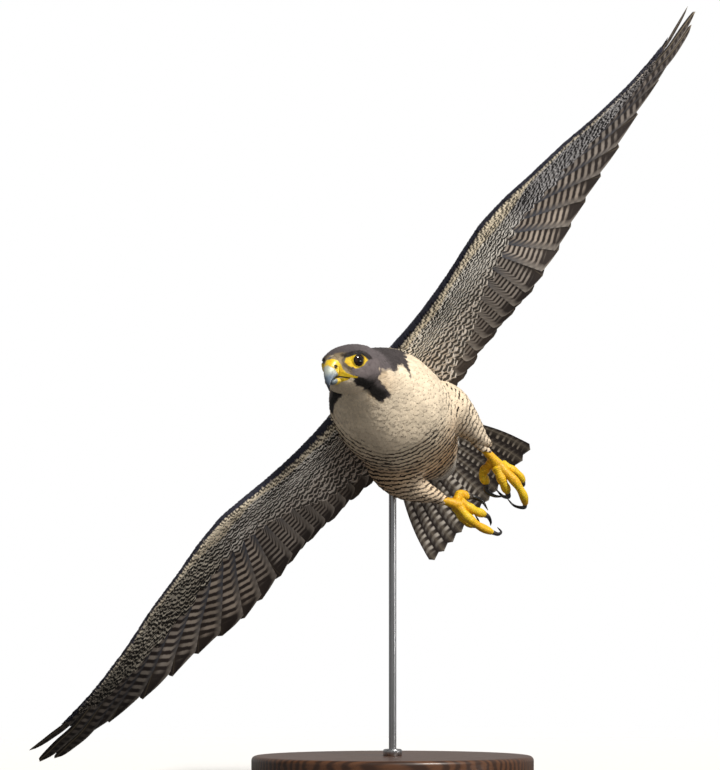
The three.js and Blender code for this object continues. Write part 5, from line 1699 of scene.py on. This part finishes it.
def wing_vanes(name, side, surf, l0, s0, length, width, theta, rows, cols, lift, painter, material, thick_mm=0.16):
    """Coverts on the lower (surf -1) or upper (+1) side, each rooted at station l0, arc s0 from the front edge."""
    f, m, n = len(l0), len(rows), len(cols)
    jit = rng.normal(size=(f, 4))
    length = length * (1 + 0.08 * jit[:, 0])
    width = width * (1 + 0.06 * jit[:, 1])
    th = np.radians(theta + 5.0 * jit[:, 2])
    t = rows[None, :, None]
    v = np.asarray(cols)[None, None, :]
    outline = np.interp(rows, [0, 0.22, 0.5, 0.72, 0.88, 0.96, 1.0], [0.45, 0.85, 1.0, 0.97, 0.72, 0.42, 0.12])[None, :, None]
    sx, sy = np.sin(th)[:, None, None], np.cos(th)[:, None, None]
    run = length[:, None, None] * (t - 0.10 * v * v * t)
    off = v * width[:, None, None] / 2 * outline
    l = np.clip(l0[:, None, None] + run * sx - off * sy, 22, 535)
    s = s0[:, None, None] + run * sy + off * sx - (lead_y(l) - lead_y(l0)[:, None, None])
    base = wing_surface(side, surf, l, s)
    nor = np.cross(wing_surface(side, surf, l + 1.0, s) - wing_surface(side, surf, l - 1.0, s),
                   wing_surface(side, surf, l, s + 0.8) - wing_surface(side, surf, l, s - 0.8))
    out = wing_point(side, l, 30.0, surf * 1.0) - wing_point(side, l, 30.0, 0.0)
    flip = np.sign(np.einsum("...i,...i->...", nor, out))[..., None]
    nor = unit(nor * np.where(np.abs(s)[..., None] < 5, np.sign(flip.mean((1, 2), keepdims=True) + 1e-6), flip))
    h = (lift[0] + (lift[1] - lift[0]) * t ** 0.9) - 0.22 * v * v + 0.12 * jit[:, 3][:, None, None] * t
    mid = base + nor * h[..., None]
    half = thick_mm * np.broadcast_to(np.where(np.abs(v) > 0.99, 0, 1) * mix(1.5, 0.7, t), (f, m, n))
    verts, faces, pick, edge, under = lens(mid, nor, half)

    def spread(a):
        return pick(np.broadcast_to(a, l.shape))
    k = 0.72
    lr, sr = spread(l0[:, None, None]), spread(s0[:, None, None])
    lp, sp, tt, vv = spread(l), spread(s), spread(t), spread(v)
    tint, ink, pattern = painter(side, mix(lr, lp, k), np.maximum(mix(sr, sp, k), 0), tt, vv, spread(length[:, None, None]),
                                 spread(rng.uniform(size=f)[:, None, None]))
    rnd = spread(rng.uniform(size=f)[:, None, None])
    uv = np.stack([0.01 + 0.97 * lr / 545, 0.03 + 0.95 * np.clip(sr + 6, 0, 185) / 185], -1) + 0.003 * np.stack([(vv + 1) / 2, tt], -1)
    o = make(name, verts, faces, material, {"tint": rgba(tint), "ink": rgba(ink, 0.0), "pattern": pattern,
                                            "feather": np.stack([tt, vv, rnd], -1)}, uv, edge)
    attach(o, "root"), o
    return o


def covert_rows(fractions, pitch, l_from=36, l_to=508):
    """Roots in rows along the wing: stations and distance back from the front edge."""
    ls, cs = [], []
    for j, f in enumerate(fractions):
        l = l_from + (j % 2) * 0.5 * pitch(l_from)
        while l < l_to:
            ls.append(l), cs.append(f)
            l += pitch(l)
    return np.array(ls), np.array(cs)


SMALL = np.array([0.0, 0.3, 0.58, 0.82, 1.0])
LARGE = np.array([0.0, 0.18, 0.38, 0.58, 0.76, 0.90, 1.0])
for side, word in ((1, "left"), (-1, "right")):
    remiges(side)
    for surf, where, painter in ((-1, "under", under_paint), (1, "upper", upper_paint)):
        # greater and median coverts
        reach_f = 0.125 if surf < 0 else 0.19
        fr = np.arange(0.15, 0.80, 0.048) if surf < 0 else np.linspace(0.16, 0.44, 5)
        wide = 1.0 if surf < 0 else 1.25
        l, f = covert_rows(fr, lambda x: mix(7.6, 5.2, smooth(200, 500, np.array(x))) * wide, 34, 430 if surf < 0 else 470)
        keep = f < (cover(l) - reach_f if surf < 0 else np.interp(l, [30, 220, 300, 440, 505], [0.60, 0.60, 0.50, 0.34, 0.24]))
        l, f = l[keep], f[keep]
        ch = chord(l)
        theta = flow(l)
        length = np.minimum(reach_f * ch / np.maximum(np.cos(np.radians(theta)), 0.42), 40) * (1 + 0.08 * np.sin(l * 0.5))
        width = mix(10.5, 7.0, smooth(200, 500, l)) * wide
        s = s_at(l, f * ch)
        wing_vanes(f"wing_{word}_{where}_coverts", side, surf, l + 1.2 * rng.normal(size=len(l)), s + 1.2 * rng.normal(size=len(l)),
                   length, width, theta, LARGE, [-1, -0.5, 0, 0.5, 1], (-0.4, 0.8), painter, MAT_COVERT)
        # lesser and marginal coverts, down to tiny scales round the front edge
        ls, ss = [], []
        s = 0.6 if surf < 0 else -1.5
        out_to = 452 if surf < 0 else 470
        while s < 44:
            pitch = mix(3.8, 6.6, smooth(0, 16, np.array(s)))
            x = 30 + rng.uniform() * pitch
            while x < out_to:
                if c_at(np.array(x), np.array(s)) < 0.17 * chord(x) + 1:
                    ls.append(x), ss.append(s)
                x += pitch * mix(1, 0.85, smooth(250, 500, np.array(x)))
            s += pitch * 0.80
        l, s = np.array(ls), np.array(ss)
        size = smooth(1, 26, s)
        wing_vanes(f"wing_{word}_{where}_lesser", side, surf, l + 0.6 * rng.normal(size=len(l)), s + 0.5 * rng.normal(size=len(s)),
                   mix(8.5, 15.5, size), mix(5.4, 9.2, size), mix(48, flow(l), 0.25 + 0.75 * size), SMALL, [-1, 0, 1], (-0.2, 0.6),
                   painter, MAT_COVERT, 0.13)


# ------------------------------------------------------------------ tail
def rectrices():
    m = 44
    u = np.linspace(-0.12, 1.0, m)
    order = list(range(12))
    mids, norms, halves, info = [], [], [], []
    for i in order:
        s0 = (i - 5.5) / 6.0
        outer = abs(s0)
        sgn = 1.0 if s0 > 0 else -1.0
        # the shaft lies toward the outer side of each vane
        web_out, web_in = 0.085, 0.155
        if i in (5, 6):
            web_out = 0.11
        z = np.clip((u - 0.95) / 0.05, 0, 1)
        close = np.sqrt(np.clip(1 - z ** 3.2, 0, 1)) * 0.94 + 0.06
        off = np.stack([-web_out * close, -web_out * 0.5 * close, -0.010 * np.ones(m), np.zeros(m), 0.010 * np.ones(m), web_in * 0.35 * close,
                        web_in * 0.7 * close, web_in * close], -1)
        v = off / np.where(off < 0, web_out, web_in)
        s = s0 + 0.02 * sgn - sgn * off
        s = np.clip(s, -0.995, 0.995)
        t = u[:, None] + 0.018 * (1 - v * v) * smooth(0.8, 1.0, u)[:, None] - 0.012
        # each outer feather lies under the one nearer the middle
        e = 0.55 * (0.5 - outer) * 1.3 + 0.32 * v * 1.0
        p = tail_point(s, t, e)
        up = unit(tail_point(s, t, e + 1) - p)
        half = np.stack([0 * u, 0.16 + 0 * u, 0.2 + 0 * u, mix(0.8, 0.25, np.clip(u, 0, 1)), 0.2 + 0 * u, 0.16 + 0 * u, 0.15 + 0 * u, 0 * u], -1)
        mids.append(p), norms.append(up), halves.append(half)
        rnd = rng.uniform()
        info.append(np.stack([np.broadcast_to(np.clip(u, 0, 1)[:, None], v.shape), v, np.full(v.shape, rnd), (1 - t) * TAIL_LENGTH,
                              np.full(v.shape, i), np.abs(off) * 80], -1))
    mid, nor, half, info = map(np.array, (mids, norms, halves, info))
    verts, faces, pick, edge, under = lens(mid, nor, half)
    u_, v_, rnd, dt, fi, dist = pick(info).T
    pts = pick(mid)
    bright = smooth(115, 60, pts[:, 0]) * under
    dark, pale = mix(lin(56, 49, 46), lin(74, 66, 62), bright[:, None]), mix(lin(188, 176, 160), lin(236, 228, 216), bright[:, None])
    tint = np.where(under[:, None], dark, lin(112, 117, 128))
    ink = np.where(under[:, None], pale, lin(54, 56, 65))
    w4 = wave(pts, 44, 9)
    inner = smooth(-0.05, 0.3, v_)
    phase = dt / 10.5 + 0.30 * np.abs(v_) + 0.35 * np.sin(fi * 2.3) + 0.16 * w4
    strength = np.where(under, smooth(8, 18, dt) * mix(0.22, 0.95, inner) * smooth(1.02, 0.9, v_), 0.6 * smooth(10, 18, dt))
    duty = np.where(under, mix(0.30, 0.50, bright) + 0.05 * w4, 0.45)
    tint = mix(tint, lin(168, 156, 138), (0.5 * smooth(1.4, 0.3, dist) * under)[:, None])
    tint = mix(tint, lin(206, 196, 182), (0.75 * smooth(3.2, 1.2, dt))[:, None])
    tint = np.where(edge[:, None], dark, tint)
    strength = np.where(edge, 0.0, strength)
    uv = np.stack([0.01 + 0.98 * u_, (fi + 0.04 + 0.44 * (v_ + 1) / 2 + 0.5 * under) / 12], -1)
    o = make("tail_feathers", verts, faces, MAT_FLIGHT,
             {"tint": rgba(tint), "ink": rgba(ink, 0.0), "pattern": np.stack([phase, duty, strength], -1),
              "feather": np.stack([u_, v_, rnd], -1)}, uv, edge)
    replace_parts(o, "tail"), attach(o, "root"), o


rectrices()


def tail_coverts(surf, name):
    """Rows of coverts over the roots of the tail, below (surf -1) or above (+1)."""
    s0, t0, lengths, widths = [], [], [], []
    for j, t in enumerate((-0.30, -0.20, -0.10, 0.0, 0.09)):
        n = 8 + j
        for i in range(n):
            reach = mix(0.62, 0.88, j / 4)
            s = -reach + 2 * reach * (i + 0.5) / n + 0.02 * rng.normal()
            s0.append(s), t0.append(t - 0.05 * abs(s) + 0.01 * rng.normal())
            lengths.append(mix(0.32, 0.28, j / 4)), widths.append(18.0)
    s0, t0, lengths, widths = map(np.array, (s0, t0, lengths, widths))
    f = len(s0)
    rows, v = LARGE, np.array([-1, -0.5, 0, 0.5, 1.0])
    outline = np.interp(rows, [0, 0.22, 0.5, 0.72, 0.88, 0.96, 1.0], [0.45, 0.85, 1.0, 0.97, 0.74, 0.45, 0.12])
    t = t0[:, None, None] + lengths[:, None, None] * (rows[None, :, None] - 0.12 * (v * v)[None, None, :] * rows[None, :, None])
    half_w = 35 + 78 * np.clip(t, -0.2, 1) - 29 * np.clip(t, -0.2, 1) ** 2
    s = s0[:, None, None] + (v[None, None, :] * (widths[:, None, None] / 2 * outline[None, :, None])) / half_w
    start = np.clip(-t, 0, 0.5)
    e = 1.2 + 8.0 * start + (0.2 + 1.4 * rows[None, :, None]) - 0.5 * (v * v)[None, None, :]
    e = e + 2.6 * smooth(0.12, -0.25, t)
    mid = tail_point(s, t, surf * e)
    nor = unit(tail_point(s, t, surf * (e + 1)) - mid)
    half = np.broadcast_to(np.where(np.abs(v) > 0.99, 0, 0.2), (f, len(rows), 5)) * 1.0
    verts, faces, pick, edge, under = lens(mid, nor, half)
    rnd = pick(np.broadcast_to(rng.uniform(size=f)[:, None, None], t.shape))
    vv, rr = pick(np.broadcast_to(v, t.shape)), pick(np.broadcast_to(rows[None, :, None], t.shape))
    dist = pick(t) * TAIL_LENGTH
    if surf < 0:
        tint, ink = np.broadcast_to(lin(228, 222, 212), (len(vv), 3)), np.broadcast_to(lin(62, 55, 52), (len(vv), 3))
        pattern = np.stack([dist / 10 + 0.3 * rnd, np.full(len(vv), 0.26), np.full(len(vv), 0.85)], -1)
    else:
        tint, ink = np.broadcast_to(lin(120, 126, 138), (len(vv), 3)), np.broadcast_to(lin(44, 45, 52), (len(vv), 3))
        pattern = np.stack([dist / 9 + 0.3 * rnd, np.full(len(vv), 0.4), np.full(len(vv), 0.65)], -1)
    uv = np.stack([0.5 + 0.47 * pick(np.broadcast_to(s0[:, None, None], t.shape)), 0.3 + pick(np.broadcast_to(t0[:, None, None], t.shape))], -1)
    uv = uv + 0.003 * np.stack([(vv + 1) / 2, rr], -1)
    o = make(name, verts, faces, MAT_COVERT, {"tint": rgba(tint), "ink": rgba(ink, 0.0), "pattern": pattern,
                                              "feather": np.stack([rr, vv, rnd], -1)}, uv, edge)
    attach(o, "root"), o


tail_coverts(-1, "undertail_coverts")
tail_coverts(1, "uppertail_coverts")
